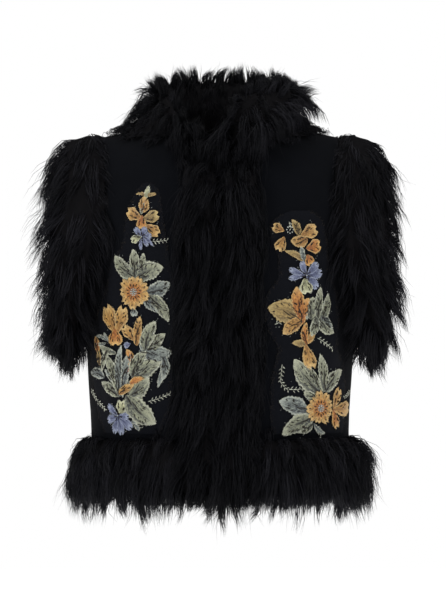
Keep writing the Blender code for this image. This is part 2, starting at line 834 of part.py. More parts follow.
def flower_reach(angle, petals):
    """A flower's outline: round petals with a notch between each two."""
    return 0.80 + 0.20 * abs(math.cos(angle * petals / 2)) ** 0.7


def lobed_reach(angle, lobes):
    """A lobed leaf's outline: pointed lobes over its upper part and a short foot."""
    spread = {3: 62, 5: 46}[lobes]
    half = (lobes - 1) / 2
    nearest = min(abs(math.degrees(angle) - spread * (k - half)) for k in range(lobes))
    point = max(0.0, 1 - nearest / (spread / 2))
    foot = 0.50 if abs(math.degrees(angle)) > spread * half + spread / 2 else 0.0
    return max(0.56 + 0.44 * point**1.3, foot)


def leaf_reach(angle, slimness):
    """A pointed leaf's outline, by the angle from its tip."""
    across = abs(math.sin(angle))
    along = abs(math.cos(angle))
    return 1 / (along**1.15 + (across / slimness) ** 1.15) ** (1 / 1.15)


def motif_outline(kind, half_length, half_width):
    """Points of a motif's outline in its own plane, upright, as pairs of across and up."""
    slimness = half_width / half_length
    if kind == "leaf":
        count = 12
        reach = [leaf_reach(2 * math.pi * k / count, slimness) for k in range(count)]
        squash = 1.0
    elif kind.startswith("flower"):
        petals = int(kind[-1])
        count = petals * 4 if petals < 6 else petals * 2
        reach = [flower_reach(2 * math.pi * k / count, petals) for k in range(count)]
        squash = slimness
    else:
        count = 20
        turns = [(2 * math.pi * k / count + math.pi) % (2 * math.pi) - math.pi for k in range(count)]
        reach = [lobed_reach(a, int(kind[-1])) for a in turns]
        squash = slimness
    points = []
    for k, r in enumerate(reach):
        angle = 2 * math.pi * k / count
        points.append((half_length * r * math.sin(angle) * squash, half_length * r * math.cos(angle)))
    return points


def make_motif(name, hand, kind, along, height, half_length, half_width, turn, layer, finish):
    """One embroidered motif: a thin raised shape that follows the cloth under it."""
    outline = motif_outline(kind, half_length, half_width)
    bend = math.radians(turn)
    base = GROUND_GAP + GROUND + LAYER_GAP + layer * (MOTIF + LAYER_GAP)
    rings = (1.0, 0.5)

    def place(across, up, off):
        s = along + across * math.cos(bend) + up * math.sin(bend)
        z = height - across * math.sin(bend) + up * math.cos(bend)
        return ground_point(hand, s, z, off)

    shape = bmesh.new()
    faces = []
    for off, dome in ((base, 0.0), (base + MOTIF, MOTIF_DOME)):
        loops = [
            [shape.verts.new(place(a * r, u * r, off + dome * (1 - r))) for a, u in outline]
            for r in rings
        ]
        hub = shape.verts.new(place(0, 0, off + dome))
        faces.append(loops[0])
        count = len(outline)
        for k in range(count):
            n = (k + 1) % count
            shape.faces.new((loops[0][k], loops[0][n], loops[1][n], loops[1][k]))
            shape.faces.new((loops[1][k], loops[1][n], hub))
    for k in range(len(outline)):
        n = (k + 1) % len(outline)
        shape.faces.new((faces[0][k], faces[0][n], faces[1][n], faces[1][k]))
    make_object(name, shape, finish)


def make_motifs(finishes):
    colour_words = {"orange": "thread_orange", "ochre": "thread_ochre", "petal": "thread_ochre",
                    "bud": "thread_ochre", "blue": "thread_blue", "leaf": "thread_green"}
    for hand, word in ((RIGHT, "right"), (LEFT, "left")):
        for name, *shape in MOTIFS[hand]:
            start = next(w for w in colour_words if name.startswith(w))
            make_motif(f"{name}_{word}", hand, *shape, finishes[colour_words[start]])


def clear_scene():
    for made in list(bpy.data.objects):
        bpy.data.objects.remove(made)


def main():
    clear_scene()
    cloth = material("cloth", (0.010, 0.011, 0.014), 0.85)
    fur = material("fur", (0.012, 0.011, 0.013), 0.55)
    ground = material("ground", (0.008, 0.008, 0.012), 0.95)
    threads = {
        "thread_orange": material("thread_orange", (0.72, 0.30, 0.07), 0.6),
        "thread_ochre": material("thread_ochre", (0.56, 0.33, 0.10), 0.6),
        "thread_green": material("thread_green", (0.27, 0.30, 0.20), 0.6),
        "thread_blue": material("thread_blue", (0.20, 0.24, 0.42), 0.6),
    }
    make_fronts(cloth)
    make_back(cloth)
    make_strips(fur)
    make_hem_fur(fur)
    make_collar(fur)
    make_armhole_fur(fur)
    make_grounds(ground)
    make_motifs(threads)


main()
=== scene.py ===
# %% [markdown]
# # A fur-trimmed vest with embroidered sprays
#
# This lesson dresses a measured vest. The frame gives plain solids at the right size and
# place: three cloth panels, eight fur pieces, two applique grounds and their motifs. Each
# cell builds one part of the real garment round them: cloth, hair, net and thread.
#
# The frame is loaded first, because every later piece is placed from its solids.

# %% Load the measured frame
import math

import bpy
import numpy as np
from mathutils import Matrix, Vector
from mathutils.bvhtree import BVHTree
from mathutils.kdtree import KDTree


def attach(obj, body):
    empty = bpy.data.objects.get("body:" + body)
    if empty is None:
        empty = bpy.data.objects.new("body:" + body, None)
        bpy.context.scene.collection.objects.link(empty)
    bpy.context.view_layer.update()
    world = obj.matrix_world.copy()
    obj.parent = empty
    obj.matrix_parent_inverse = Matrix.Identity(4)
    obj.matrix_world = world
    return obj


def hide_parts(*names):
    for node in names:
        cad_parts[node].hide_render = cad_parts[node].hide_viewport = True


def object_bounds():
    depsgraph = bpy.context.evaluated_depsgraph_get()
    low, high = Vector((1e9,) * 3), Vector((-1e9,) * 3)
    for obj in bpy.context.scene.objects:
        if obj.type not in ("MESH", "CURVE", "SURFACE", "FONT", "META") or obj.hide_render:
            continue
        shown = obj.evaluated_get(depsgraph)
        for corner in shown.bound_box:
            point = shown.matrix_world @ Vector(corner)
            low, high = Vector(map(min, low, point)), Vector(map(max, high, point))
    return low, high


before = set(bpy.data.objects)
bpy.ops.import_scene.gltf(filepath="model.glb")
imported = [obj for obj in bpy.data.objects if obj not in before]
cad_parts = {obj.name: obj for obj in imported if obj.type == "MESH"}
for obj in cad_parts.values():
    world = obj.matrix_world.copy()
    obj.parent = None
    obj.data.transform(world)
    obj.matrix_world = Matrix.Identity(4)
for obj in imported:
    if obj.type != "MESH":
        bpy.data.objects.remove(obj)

cad_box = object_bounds()
MM = 0.001
print("solids in the frame:", len(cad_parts))

# %% [markdown]
# ## The camera, the floor and the light
#
# The photograph was taken with a long lens, level with the middle of the vest, so that its
# hem hardly curves. One pixel is 1.45 mm at the front panels. A real studio would use a
# white sweep and large soft boxes, because black fur shows its form only by broad glints.

# %% Camera at the photograph's place
PIXEL = 1.45 * MM
PHOTO_WIDTH, PHOTO_HEIGHT = 446, 600
CAMERA_DISTANCE = 6.0
FRONT_PLANE = -0.11

camera_data = bpy.data.cameras.new("camera")
camera_data.sensor_fit = "VERTICAL"
camera_data.sensor_height = 36
camera_data.lens = 36 * (CAMERA_DISTANCE + FRONT_PLANE) / (PHOTO_HEIGHT * PIXEL)
camera = bpy.data.objects.new("camera", camera_data)
camera.location = ((PHOTO_WIDTH / 2 - 220) * PIXEL, -CAMERA_DISTANCE, (125 - PHOTO_HEIGHT / 2) * PIXEL)
camera.rotation_euler = (math.radians(90), 0, 0)
bpy.context.scene.collection.objects.link(camera)
bpy.context.scene.camera = camera
print("lens in mm:", round(camera_data.lens, 1))

# %% [markdown]
# ## A white sweep
#
# The floor is a plain white plane, well below the hem. A little emission of its own lifts
# it to the white of the surroundings, as bright studio paper is. The surroundings are white
# to the eye but light the vest only dimly, so that the soft boxes still shape the fur.

# %% Pale floor and white surroundings
FLOOR_HEIGHT = -1.05


def deselect():
    """Leaves edit mode and selects nothing, so that the next operator starts clean."""
    if bpy.context.object and bpy.context.object.mode != "OBJECT":
        bpy.ops.object.mode_set(mode="OBJECT")
    bpy.ops.object.select_all(action="DESELECT")


deselect()
bpy.ops.mesh.primitive_plane_add(size=12, location=(0, 0, FLOOR_HEIGHT))
floor = bpy.context.object
floor.name = "floor"

floor_finish = bpy.data.materials.new("floor_white")
floor_finish.use_nodes = True
floor_shader = floor_finish.node_tree.nodes["Principled BSDF"]
floor_shader.inputs["Base Color"].default_value = (0.9, 0.9, 0.9, 1)
floor_shader.inputs["Roughness"].default_value = 0.9
floor_shader.inputs["Emission Color"].default_value = (1, 1, 1, 1)
floor_shader.inputs["Emission Strength"].default_value = 1.0
floor.data.materials.append(floor_finish)

world = bpy.data.worlds.new("white_studio")
bpy.context.scene.world = world
world.use_nodes = True
sky = world.node_tree.nodes["Background"]
sky.inputs["Color"].default_value = (1, 1, 1, 1)
seen = world.node_tree.nodes.new("ShaderNodeLightPath")
strength = world.node_tree.nodes.new("ShaderNodeMix")
strength.inputs["A"].default_value = 0.30
strength.inputs["B"].default_value = 1.0
world.node_tree.links.new(seen.outputs["Is Camera Ray"], strength.inputs["Factor"])
world.node_tree.links.new(strength.outputs["Result"], sky.inputs["Strength"])
bpy.context.scene.view_settings.view_transform = "Standard"
print("floor height in m:", FLOOR_HEIGHT)

# %% [markdown]
# ## Three soft boxes
#
# Black fur shows little but the reflection of broad lights. A large box stands to each side,
# a little in front, and one hangs above. The left one is stronger, so that every round form
# has a lit side and a dark side. Area lights aimed at the vest's middle do the same here.

# %% Soft boxes
LIGHTS = (
    # name, place, size, power
    ("soft_box_left", (-1.9, -1.7, 1.0), 1.3, 34),
    ("soft_box_right", (2.0, -1.4, 0.9), 1.2, 24),
    ("soft_box_top", (0.0, -0.4, 2.0), 1.4, 22),
)
MIDDLE = Vector((0, 0, -0.25))

for name, place, size, power in LIGHTS:
    light = bpy.data.lights.new(name, "AREA")
    light.size = size
    light.energy = power
    lamp = bpy.data.objects.new(name, light)
    lamp.location = place
    lamp.rotation_euler = (MIDDLE - Vector(place)).to_track_quat("-Z", "Y").to_euler()
    bpy.context.scene.collection.objects.link(lamp)
    print(name, "watts:", power)

# %% [markdown]
# ## Finishes
#
# Every finish here is near black, so colour hardly tells them apart. What does is how they
# return light: the brushed cloth scatters it evenly and looks blue-grey, the hair glints
# along its length and looks a little brown, and satin thread shines across its stitches.
# One shader group makes the soft unevenness that all of them need.

# %% A shared group for uneven tone
uneven_tone = bpy.data.node_groups.new("uneven_tone", "ShaderNodeTree")
uneven_tone.interface.new_socket("Scale", in_out="INPUT", socket_type="NodeSocketFloat")
uneven_tone.interface.new_socket("Dark", in_out="INPUT", socket_type="NodeSocketColor")
uneven_tone.interface.new_socket("Light", in_out="INPUT", socket_type="NodeSocketColor")
uneven_tone.interface.new_socket("Color", in_out="OUTPUT", socket_type="NodeSocketColor")

group_in = uneven_tone.nodes.new("NodeGroupInput")
group_out = uneven_tone.nodes.new("NodeGroupOutput")
group_place = uneven_tone.nodes.new("ShaderNodeTexCoord")
group_noise = uneven_tone.nodes.new("ShaderNodeTexNoise")
group_noise.inputs["Detail"].default_value = 6
group_noise.inputs["Roughness"].default_value = 0.65
group_mix = uneven_tone.nodes.new("ShaderNodeMix")
group_mix.data_type = "RGBA"
uneven_tone.links.new(group_place.outputs["Object"], group_noise.inputs["Vector"])
uneven_tone.links.new(group_in.outputs["Scale"], group_noise.inputs["Scale"])
uneven_tone.links.new(group_noise.outputs["Fac"], group_mix.inputs["Factor"])
uneven_tone.links.new(group_in.outputs["Dark"], group_mix.inputs[6])
uneven_tone.links.new(group_in.outputs["Light"], group_mix.inputs[7])
uneven_tone.links.new(group_mix.outputs[2], group_out.inputs["Color"])


def new_finish(name, roughness, specular, sheen=0.0):
    """A material with its shader's plain values set, ready for its own nodes."""
    finish = bpy.data.materials.new(name)
    finish.use_nodes = True
    shader = finish.node_tree.nodes["Principled BSDF"]
    shader.inputs["Roughness"].default_value = roughness
    shader.inputs["Specular IOR Level"].default_value = specular
    shader.inputs["Sheen Weight"].default_value = sheen
    return finish, finish.node_tree, shader


def add_tone(tree, scale, dark, light):
    tone = tree.nodes.new("ShaderNodeGroup")
    tone.node_tree = uneven_tone
    tone.inputs["Scale"].default_value = scale
    tone.inputs["Dark"].default_value = (*dark, 1)
    tone.inputs["Light"].default_value = (*light, 1)
    return tone


print("uneven tone nodes:", len(uneven_tone.nodes))

# %% [markdown]
# ## Brushed cloth
#
# The panels are matte with a fine raised nap. A very rough shader with a trace of sheen
# makes the dull surface, and fine noise in the bump breaks up the light that is left. The
# tone changes a little over a few centimetres, as a pressed and brushed cloth's does.

# %% Brushed cloth
cloth_finish, tree, shader = new_finish("brushed_cloth", roughness=0.95, specular=0.035, sheen=0.02)
tone = add_tone(tree, 34, (0.0014, 0.0017, 0.0026), (0.0030, 0.0034, 0.0048))
tree.links.new(tone.outputs["Color"], shader.inputs["Base Color"])
nap = tree.nodes.new("ShaderNodeTexNoise")
nap.inputs["Scale"].default_value = 1500
nap.inputs["Detail"].default_value = 3
place = tree.nodes.new("ShaderNodeTexCoord")
tree.links.new(place.outputs["Object"], nap.inputs["Vector"])
bump = tree.nodes.new("ShaderNodeBump")
bump.inputs["Strength"].default_value = 0.35
bump.inputs["Distance"].default_value = 0.0006
tree.links.new(nap.outputs["Fac"], bump.inputs["Height"])
tree.links.new(bump.outputs["Normal"], shader.inputs["Normal"])
print("finish:", cloth_finish.name)

# %% [markdown]
# ## Glossy hair
#
# No two hairs of a pelt are quite the same black. Each hair's mesh will carry its own shade
# in a UV map called strand, so that one material can colour tens of thousands of hairs. That
# shade also holds painted light and shade: the front edges and parts of the collar are painted
# darker, one side of the collar lighter. The pelt that shows between them gets the matte,
# uneven tone.

# %% Glossy hair and the pelt under it
hair_finish, tree, shader = new_finish("black_hair", roughness=0.50, specular=0.09)
strand = tree.nodes.new("ShaderNodeUVMap")
strand.uv_map = "strand"
split = tree.nodes.new("ShaderNodeSeparateXYZ")
tree.links.new(strand.outputs["UV"], split.inputs["Vector"])
# the strand's shade picks each hair's colour: random tone times painted light and shade
shade = tree.nodes.new("ShaderNodeMix")
shade.data_type = "RGBA"
shade.inputs[6].default_value = (0.0010, 0.0012, 0.0019, 1)
shade.inputs[7].default_value = (0.0150, 0.0148, 0.0190, 1)
tree.links.new(split.outputs["X"], shade.inputs["Factor"])
tree.links.new(shade.outputs[2], shader.inputs["Base Color"])

pelt_finish, tree, shader = new_finish("dark_pelt", roughness=0.95, specular=0.05)
tone = add_tone(tree, 120, (0.0020, 0.0019, 0.0022), (0.0060, 0.0056, 0.0064))
tree.links.new(tone.outputs["Color"], shader.inputs["Base Color"])
print("finishes:", hair_finish.name, pelt_finish.name)

# %% [markdown]
# ## The cloth panels
#
# The fronts and the back are brushed cloth, cut flat and sewn at the shoulders and sides.
# A cloth simulation would let them sag off the missing wearer, so each panel is refined
# from its measured wall instead: its triangles become quads again, its cut edges are
# creased so that they keep their place, and one subdivision rounds what lies between.
# The soft creases below the arms are then moved in by listed waves.

# %% Work on a copy of a solid
MERGE_DISTANCE = 0.00002


def copy_of_node(node, name):
    """A loose copy of a measured solid, merged, selected and active."""
    deselect()
    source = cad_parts[node]
    made = bpy.data.objects.new(name, source.data.copy())
    made.data.name = name
    made.data.materials.clear()
    bpy.context.scene.collection.objects.link(made)
    made.select_set(True)
    bpy.context.view_layer.objects.active = made
    bpy.ops.object.mode_set(mode="EDIT")
    bpy.ops.mesh.select_all(action="SELECT")
    bpy.ops.mesh.remove_doubles(threshold=MERGE_DISTANCE)
    bpy.ops.object.mode_set(mode="OBJECT")
    return made


def vertex_array(made):
    points = np.empty(len(made.data.vertices) * 3)
    made.data.vertices.foreach_get("co", points)
    return points.reshape(-1, 3)


def normal_array(made):
    normals = np.empty(len(made.data.vertices) * 3)
    made.data.vertices.foreach_get("normal", normals)
    return normals.reshape(-1, 3)


def set_vertices(made, points):
    made.data.vertices.foreach_set("co", points.ravel())
    made.data.update()


def smooth_step(value):
    value = np.clip(value, 0, 1)
    return value * value * (3 - 2 * value)


# %% Crease a panel
CREASES = (
    # angle round the body in degrees, lean, top, foot, half width in degrees, depth in mm
    (74, 0.10, -0.250, -0.450, 5.0, -1.5),
    (83, -0.05, -0.280, -0.455, 4.0, 1.3),
    (-76, -0.12, -0.245, -0.450, 5.5, -1.6),
    (-84, 0.08, -0.290, -0.455, 4.0, 1.2),
    (104, 0.10, -0.260, -0.455, 6.0, -1.7),
    (128, -0.08, -0.300, -0.455, 7.0, 1.4),
    (-108, -0.10, -0.250, -0.455, 6.0, -1.8),
    (-133, 0.06, -0.310, -0.455, 7.5, 1.5),
    (166, 0.04, -0.300, -0.455, 7.0, -1.4),
    (-168, -0.05, -0.280, -0.455, 7.0, 1.3),
    (30, 0.30, -0.060, -0.190, 7.0, -1.2),
    (-31, -0.30, -0.055, -0.185, 7.0, -1.1),
)


def crease_panel(made):
    points = vertex_array(made)
    radial = points * [1, 1, 0]
    radial /= np.linalg.norm(radial, axis=1)[:, None] + 1e-9
    angle = np.degrees(np.arctan2(points[:, 0], -points[:, 1]))
    for middle, lean, top, foot, spread, depth in CREASES:
        centre = middle + lean * (points[:, 2] - top) * 300
        across = np.abs((angle - centre + 180) % 360 - 180) / spread
        along = smooth_step((top - points[:, 2]) / 0.06) * smooth_step((points[:, 2] - foot) / 0.06)
        profile = np.where(across < 1, np.cos(np.clip(across, 0, 1) * math.pi / 2) ** 2, 0)
        points += radial * (profile * along * depth * MM)[:, None]
    set_vertices(made, points)


print("soft creases:", len(CREASES))


# %% Refine a panel from its solid
def refine_panel(node, name):
    made = copy_of_node(node, name)
    bpy.ops.object.mode_set(mode="EDIT")
    bpy.ops.mesh.select_all(action="SELECT")
    bpy.ops.mesh.tris_convert_to_quads(face_threshold=math.radians(35), shape_threshold=math.radians(60))
    bpy.ops.mesh.select_all(action="DESELECT")
    bpy.ops.mesh.edges_select_sharp(sharpness=math.radians(50))
    bpy.ops.transform.edge_crease(value=1)
    bpy.ops.object.mode_set(mode="OBJECT")
    subdivide = made.modifiers.new("round", "SUBSURF")
    subdivide.levels = subdivide.render_levels = 1
    bpy.ops.object.modifier_apply(modifier="round")
    crease_panel(made)
    bpy.ops.object.shade_smooth_by_angle(angle=math.radians(50))
    made.data.materials.append(cloth_finish)
    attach(made, "root")
    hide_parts(node)
    return made


PANELS = (
    # node, name, flat width and length, flat area
    ("front_right", "cloth_front_right", (0.275, 0.535), 0.122),
    ("front_left", "cloth_front_left", (0.275, 0.535), 0.122),
    ("back", "cloth_back", (0.510, 0.535), 0.240),
)
panels = {}
for node, name, flat, area in PANELS:
    panels[node] = refine_panel(node, name)
    print(name, "faces:", len(panels[node].data.polygons))

# %% [markdown]
# ## Long fur
#
# The trim is a long-haired pelt sewn on in strips. Particle hair would be quick, but it is
# lost on export, so each hair here is a thin closed spike of its own, of sixteen faces.
# Two things make it look like fur and not like a brush: hairs gather into locks that share
# one tip, and the combing direction wanders a little from place to place.
#
# Each strip first gets a pelt: a smooth copy of its solid, drawn in towards its root, so
# that the hair which grows out of it fills the solid's place again.

# %% Where the cloth is
def tree_of(objects):
    points, faces = [], []
    for each in objects:
        start = len(points)
        points += [tuple(v.co) for v in each.data.vertices]
        faces += [tuple(start + i for i in p.vertices) for p in each.data.polygons]
    return BVHTree.FromPolygons(points, faces)


cloth_tree = tree_of([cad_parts[n] for n in ("front_right", "front_left", "back")])


def nearest_cloth(points):
    return np.array([cloth_tree.find_nearest(Vector(p))[0] for p in points])


print("a point of the cloth:", nearest_cloth([(0.0, -0.2, -0.3)]))

# %% Draw a pelt in towards the cloth
TIPS_BEGIN = -0.530


def drawn_in(points, normals, depth):
    """Points moved in where the face looks away from the cloth, the more so the further off they are."""
    off_cloth = points - nearest_cloth(points)
    away = np.linalg.norm(off_cloth, axis=1)
    outward = smooth_step(np.sum(off_cloth * normals, axis=1) / np.maximum(away, 1e-6) / 0.5)
    made = points - normals * (smooth_step((away - 3 * MM) / (14 * MM)) * outward * depth)[:, None]
    made[:, 2] += 0.7 * np.maximum(0, TIPS_BEGIN - made[:, 2])
    return made


def make_pelt(node, name, depth, voxel=6.5 * MM):
    """The fur's dense base: the solid's own form, drawn in where it stands off the cloth."""
    made = copy_of_node(node, name)
    remesh = made.modifiers.new("even", "REMESH")
    remesh.mode = "VOXEL"
    remesh.voxel_size = voxel
    bpy.ops.object.modifier_apply(modifier="even")
    set_vertices(made, drawn_in(vertex_array(made), normal_array(made), depth))
    firm = vertex_array(made)
    soften = made.modifiers.new("soften", "SMOOTH")
    soften.factor = 0.6
    soften.iterations = 5
    bpy.ops.object.modifier_apply(modifier="soften")
    away = np.linalg.norm(firm - nearest_cloth(firm), axis=1)
    loose = smooth_step((away - 4 * MM) / (6 * MM))[:, None]
    set_vertices(made, firm + (vertex_array(made) - firm) * loose)
    bpy.ops.object.shade_smooth()
    made.data.materials.append(pelt_finish)
    return made


# %% [markdown]
# ## Roots
#
# Hair grows evenly over a pelt, though a furrier picks a denser one where it will show.
# Roots are scattered over the solid's triangles by area, times a chance that each fur piece
# chooses for itself. One seeded generator makes every draw, so each run gives the same fur.

# %% Scatter the roots
def unit(vectors):
    return vectors / (np.linalg.norm(vectors, axis=-1, keepdims=True) + 1e-12)


def scatter(node, count, chance, depth):
    """Roots spread evenly over a solid, a little under its face, and the normals there."""
    made = copy_of_node(node, "skin")
    mesh = made.data
    mesh.calc_loop_triangles()
    corners = np.empty(len(mesh.loop_triangles) * 3, dtype=int)
    mesh.loop_triangles.foreach_get("vertices", corners)
    corners = corners.reshape(-1, 3)
    points, normals = vertex_array(made), normal_array(made)
    a, b, c = (points[corners[:, k]] for k in range(3))
    area = np.linalg.norm(np.cross(b - a, c - a), axis=1)
    facing = unit(np.cross(b - a, c - a))
    weight = area * chance((a + b + c) / 3, facing)
    pick = chance_maker.choice(len(corners), count, p=weight / weight.sum())
    u, v = chance_maker.random((2, count, 1))
    u, v = np.where(u + v > 1, 1 - u, u), np.where(u + v > 1, 1 - v, v)
    places = a[pick] + u * (b[pick] - a[pick]) + v * (c[pick] - a[pick])
    na, nb, nc = (normals[corners[pick, k]] for k in range(3))
    normals = unit(na + u * (nb - na) + v * (nc - na))
    bpy.data.objects.remove(made)
    return drawn_in(places, normals, depth * 1.25), normals


chance_maker = np.random.default_rng(20)
print("first draw of the seeded generator:", np.random.default_rng(20).random())

# %% [markdown]
# ## Spikes and locks
#
# A hair is round and tapers, but three sides are enough at this size. All hairs of a piece
# go into one mesh by arrays, since a modelling operator for each would take hours. A hair
# leaves the pelt one way, bends to another, and draws in towards the guide hair of its lock.
# Each fur piece sets both ways by how it is combed. A few hairs stay loose and stray.

# %% How combing wanders
HAIR_STEPS = 3
# the three corners of a hair's section, a third of a turn apart
RING = np.array([(math.cos(a), math.sin(a)) for a in (0, 2.0944, 4.1888)])


def wander(places, seed):
    """A direction that turns slowly from place to place, as combed fur does."""
    phase = np.array([0.0, 2.1, 4.4]) + seed
    swirl = np.sin(places @ np.array([[38, 21, -17], [-19, 33, 24], [27, -23, 41]]) + phase)
    ripple = np.sin(places @ np.array([[95, -61, 47], [52, 88, -66], [-71, 43, 83]]) + 2 * phase)
    return swirl + 0.6 * ripple


print("combing at the middle:", wander(np.zeros((1, 3)), 1).round(2))


# %% One mesh of many spikes
def spike_mesh(name, path, radius, shade):
    """One mesh of closed three-sided spikes along paths, an array of hairs by steps by 3."""
    hairs = len(path)
    tangent = np.empty_like(path)
    tangent[:, 1:-1] = path[:, 2:] - path[:, :-2]
    tangent[:, 0] = path[:, 1] - path[:, 0]
    tangent[:, -1] = path[:, -1] - path[:, -2]
    tangent = unit(tangent)
    side = unit(np.cross(tangent, unit(chance_maker.normal(size=(hairs, 1, 3)))))
    other = np.cross(tangent, side)
    steps = path.shape[1] - 1
    spokes = RING[:, 0, None] * side[:, :-1, None] + RING[:, 1, None] * other[:, :-1, None]
    rings = path[:, :-1, None] + radius[:, :-1, None, None] * spokes
    rings = rings.reshape(hairs, steps * 3, 3)
    points = np.concatenate([rings, path[:, -1:]], axis=1)
    each = steps * 3 + 1
    faces = [(2, 1, 0)]
    for s in range(steps - 1):
        for k in range(3):
            n = (k + 1) % 3
            low, high = s * 3, s * 3 + 3
            faces += [(low + k, low + n, high + n), (low + k, high + n, high + k)]
    last = (steps - 1) * 3
    faces += [(last + k, last + (k + 1) % 3, each - 1) for k in range(3)]
    faces = np.array(faces)
    corners = (faces[None] + each * np.arange(hairs)[:, None, None]).reshape(-1)
    mesh = bpy.data.meshes.new(name)
    mesh.vertices.add(hairs * each)
    mesh.vertices.foreach_set("co", points.ravel())
    mesh.loops.add(len(corners))
    mesh.loops.foreach_set("vertex_index", corners)
    mesh.polygons.add(len(corners) // 3)
    mesh.polygons.foreach_set("loop_start", np.arange(0, len(corners), 3))
    mesh.update(calc_edges=True)
    mesh.polygons.foreach_set("use_smooth", np.ones(len(corners) // 3, dtype=bool))
    along = np.append(np.repeat(np.arange(steps) / steps, 3), 1.0)
    strand = np.stack([np.repeat(shade, each), np.tile(along, hairs)], axis=1)
    layer = mesh.uv_layers.new(name="strand")
    layer.data.foreach_set("uv", strand[corners].ravel())
    made = bpy.data.objects.new(name, mesh)
    bpy.context.scene.collection.objects.link(made)
    return made


# %% Keep the tips in the room round the garment
size = np.array(cad_box[1]) - np.array(cad_box[0])
LOWEST = np.array(cad_box[0]) - 0.03 * size - 8 * MM
HIGHEST = np.array(cad_box[1]) + 0.03 * size + 8 * MM


def held_in(path):
    """Paths shortened so that no tip leaves the room round the garment."""
    root = path[:, :1]
    reach = path - root
    room = np.where(reach > 0, HIGHEST - root, root - LOWEST)
    share = np.where(np.abs(reach) > 1e-6, room / np.maximum(np.abs(reach), 1e-6), 9.0)
    share = np.clip(share.min(axis=(1, 2)), 0.2, 1.0)
    return root + reach * share[:, None, None]


print("room for tips:", LOWEST.round(3), HIGHEST.round(3))


# %% Grow one piece's hair
LOOSE_SHARE = 0.14


def grow(name, places, normals, start, finish, length, lock_size, gather, thickness, seed, painted_light=1.0):
    """Hairs in locks. start and finish are the directions at root and tip. The last argument scales their
    lightness: painted light and shade.
    """
    count = len(places)
    locks = max(8, count // lock_size)
    chosen = chance_maker.choice(count, locks, replace=False)
    finder = KDTree(locks)
    for k, i in enumerate(chosen):
        finder.insert(places[i], k)
    finder.balance()
    lock = np.array([finder.find(p)[1] for p in places])
    guide = chosen[lock]

    turn = wander(places[chosen], seed)
    lock_start = unit(start[chosen] + 0.08 * turn + 0.06 * chance_maker.normal(size=(locks, 3)))
    lock_finish = unit(finish[chosen] + 0.15 * turn + 0.08 * chance_maker.normal(size=(locks, 3)))
    lock_length = length[chosen] * chance_maker.uniform(0.82, 1.14, locks)
    wave_side = unit(np.cross(lock_finish, chance_maker.normal(size=(locks, 3))))
    wave_phase = chance_maker.uniform(0, 6.28, locks)

    loose = chance_maker.random(count) < LOOSE_SHARE
    hair_length = lock_length[lock] * chance_maker.uniform(0.66, 1.05, count)
    hair_length[loose] *= chance_maker.uniform(0.9, 1.25, loose.sum())
    gathered = np.where(loose, 0.0, gather * chance_maker.uniform(0.7, 1.0, count))
    astray = np.where(loose, 0.26, 0.09)[:, None]
    own_start = unit(lock_start[lock] + astray * chance_maker.normal(size=(count, 3)))
    astray = np.where(loose, 0.26, 0.06)[:, None]
    own_finish = unit(lock_finish[lock] + astray * chance_maker.normal(size=(count, 3)))

    t = np.linspace(0, 1, HAIR_STEPS + 1)[None, :, None]
    bent = t**1.4
    flow = own_start[:, None] * (t - bent * t * 0.72) + own_finish[:, None] * (bent * t * 0.72)
    flow = flow * (hair_length[:, None, None] * 1.10)
    sway = np.sin(wave_phase[lock][:, None, None] + 4.6 * t) * t * 1.7 * MM
    offset = (places - places[guide])[:, None] * (1 - gathered[:, None, None] * t**1.4)
    path = held_in(places[guide][:, None] + offset + flow + wave_side[lock][:, None] * sway)

    taper = np.array([1.0, 0.95, 0.66, 0.0])[None]
    radius = thickness * chance_maker.uniform(0.75, 1.25, count)[:, None] * taper
    radius[loose] *= 0.75
    shade = 0.4 * chance_maker.random(count)
    shade = np.clip(shade + 0.6 * chance_maker.random(locks)[lock] ** 1.5, 0, 1)
    return spike_mesh(name, path, radius, shade * painted_light)


# %% Join hair to its pelt
def finish_fur(node, name, pelt, hair):
    """Joins the pelt and its hair into the one piece that stands for the solid."""
    hair.data.materials.append(hair_finish)
    deselect()
    hair.select_set(True)
    pelt.select_set(True)
    bpy.context.view_layer.objects.active = pelt
    bpy.ops.object.join()
    pelt.name = name
    pelt.data.name = name
    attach(pelt, "root")
    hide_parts(node)
    print(name, "faces:", len(pelt.data.polygons))


# %% Directions on the garment
DOWN = np.array([0.0, 0.0, -1.0])
UP = -DOWN
SIDEWAYS = np.array([1.0, 0.0, 0.0])


def away_from(places, x=0.0, y=0.0):
    return unit((places - [x, y, 0]) * [1, 1, 0])


def not_to_cloth(places, normals):
    """1 where a face looks away from the cloth, and 0 where it lies on it."""
    towards = unit(places - nearest_cloth(places))
    return (np.sum(towards * normals, axis=1) > -0.35).astype(float)


print("down, up and sideways:", DOWN, UP, SIDEWAYS)

# %% [markdown]
# ## The hem band
#
# The hem is one deep band of fur in three pieces, sewn on along a straight line. Its hair
# stands off at that line, turns down, and ends in thin ragged tips. A hair is as long as it
# needs to be to reach the ragged line, so that the band stays even.

# %% Fur of the hem
HAIR_RADIUS = 0.45 * MM
HEM_HAIRS = {"fur_hem_right": 3700, "fur_hem_left": 3700, "fur_hem_back": 5000}
HEM_DENSE_EDGE = -0.553


def length_to(places, edge, shortest, longest):
    """Hair lengths that end near a level, within limits."""
    ragged = 34 * MM * chance_maker.random(len(places)) ** 3
    return np.clip((places[:, 2] - edge) * 1.04 + ragged, shortest, longest)


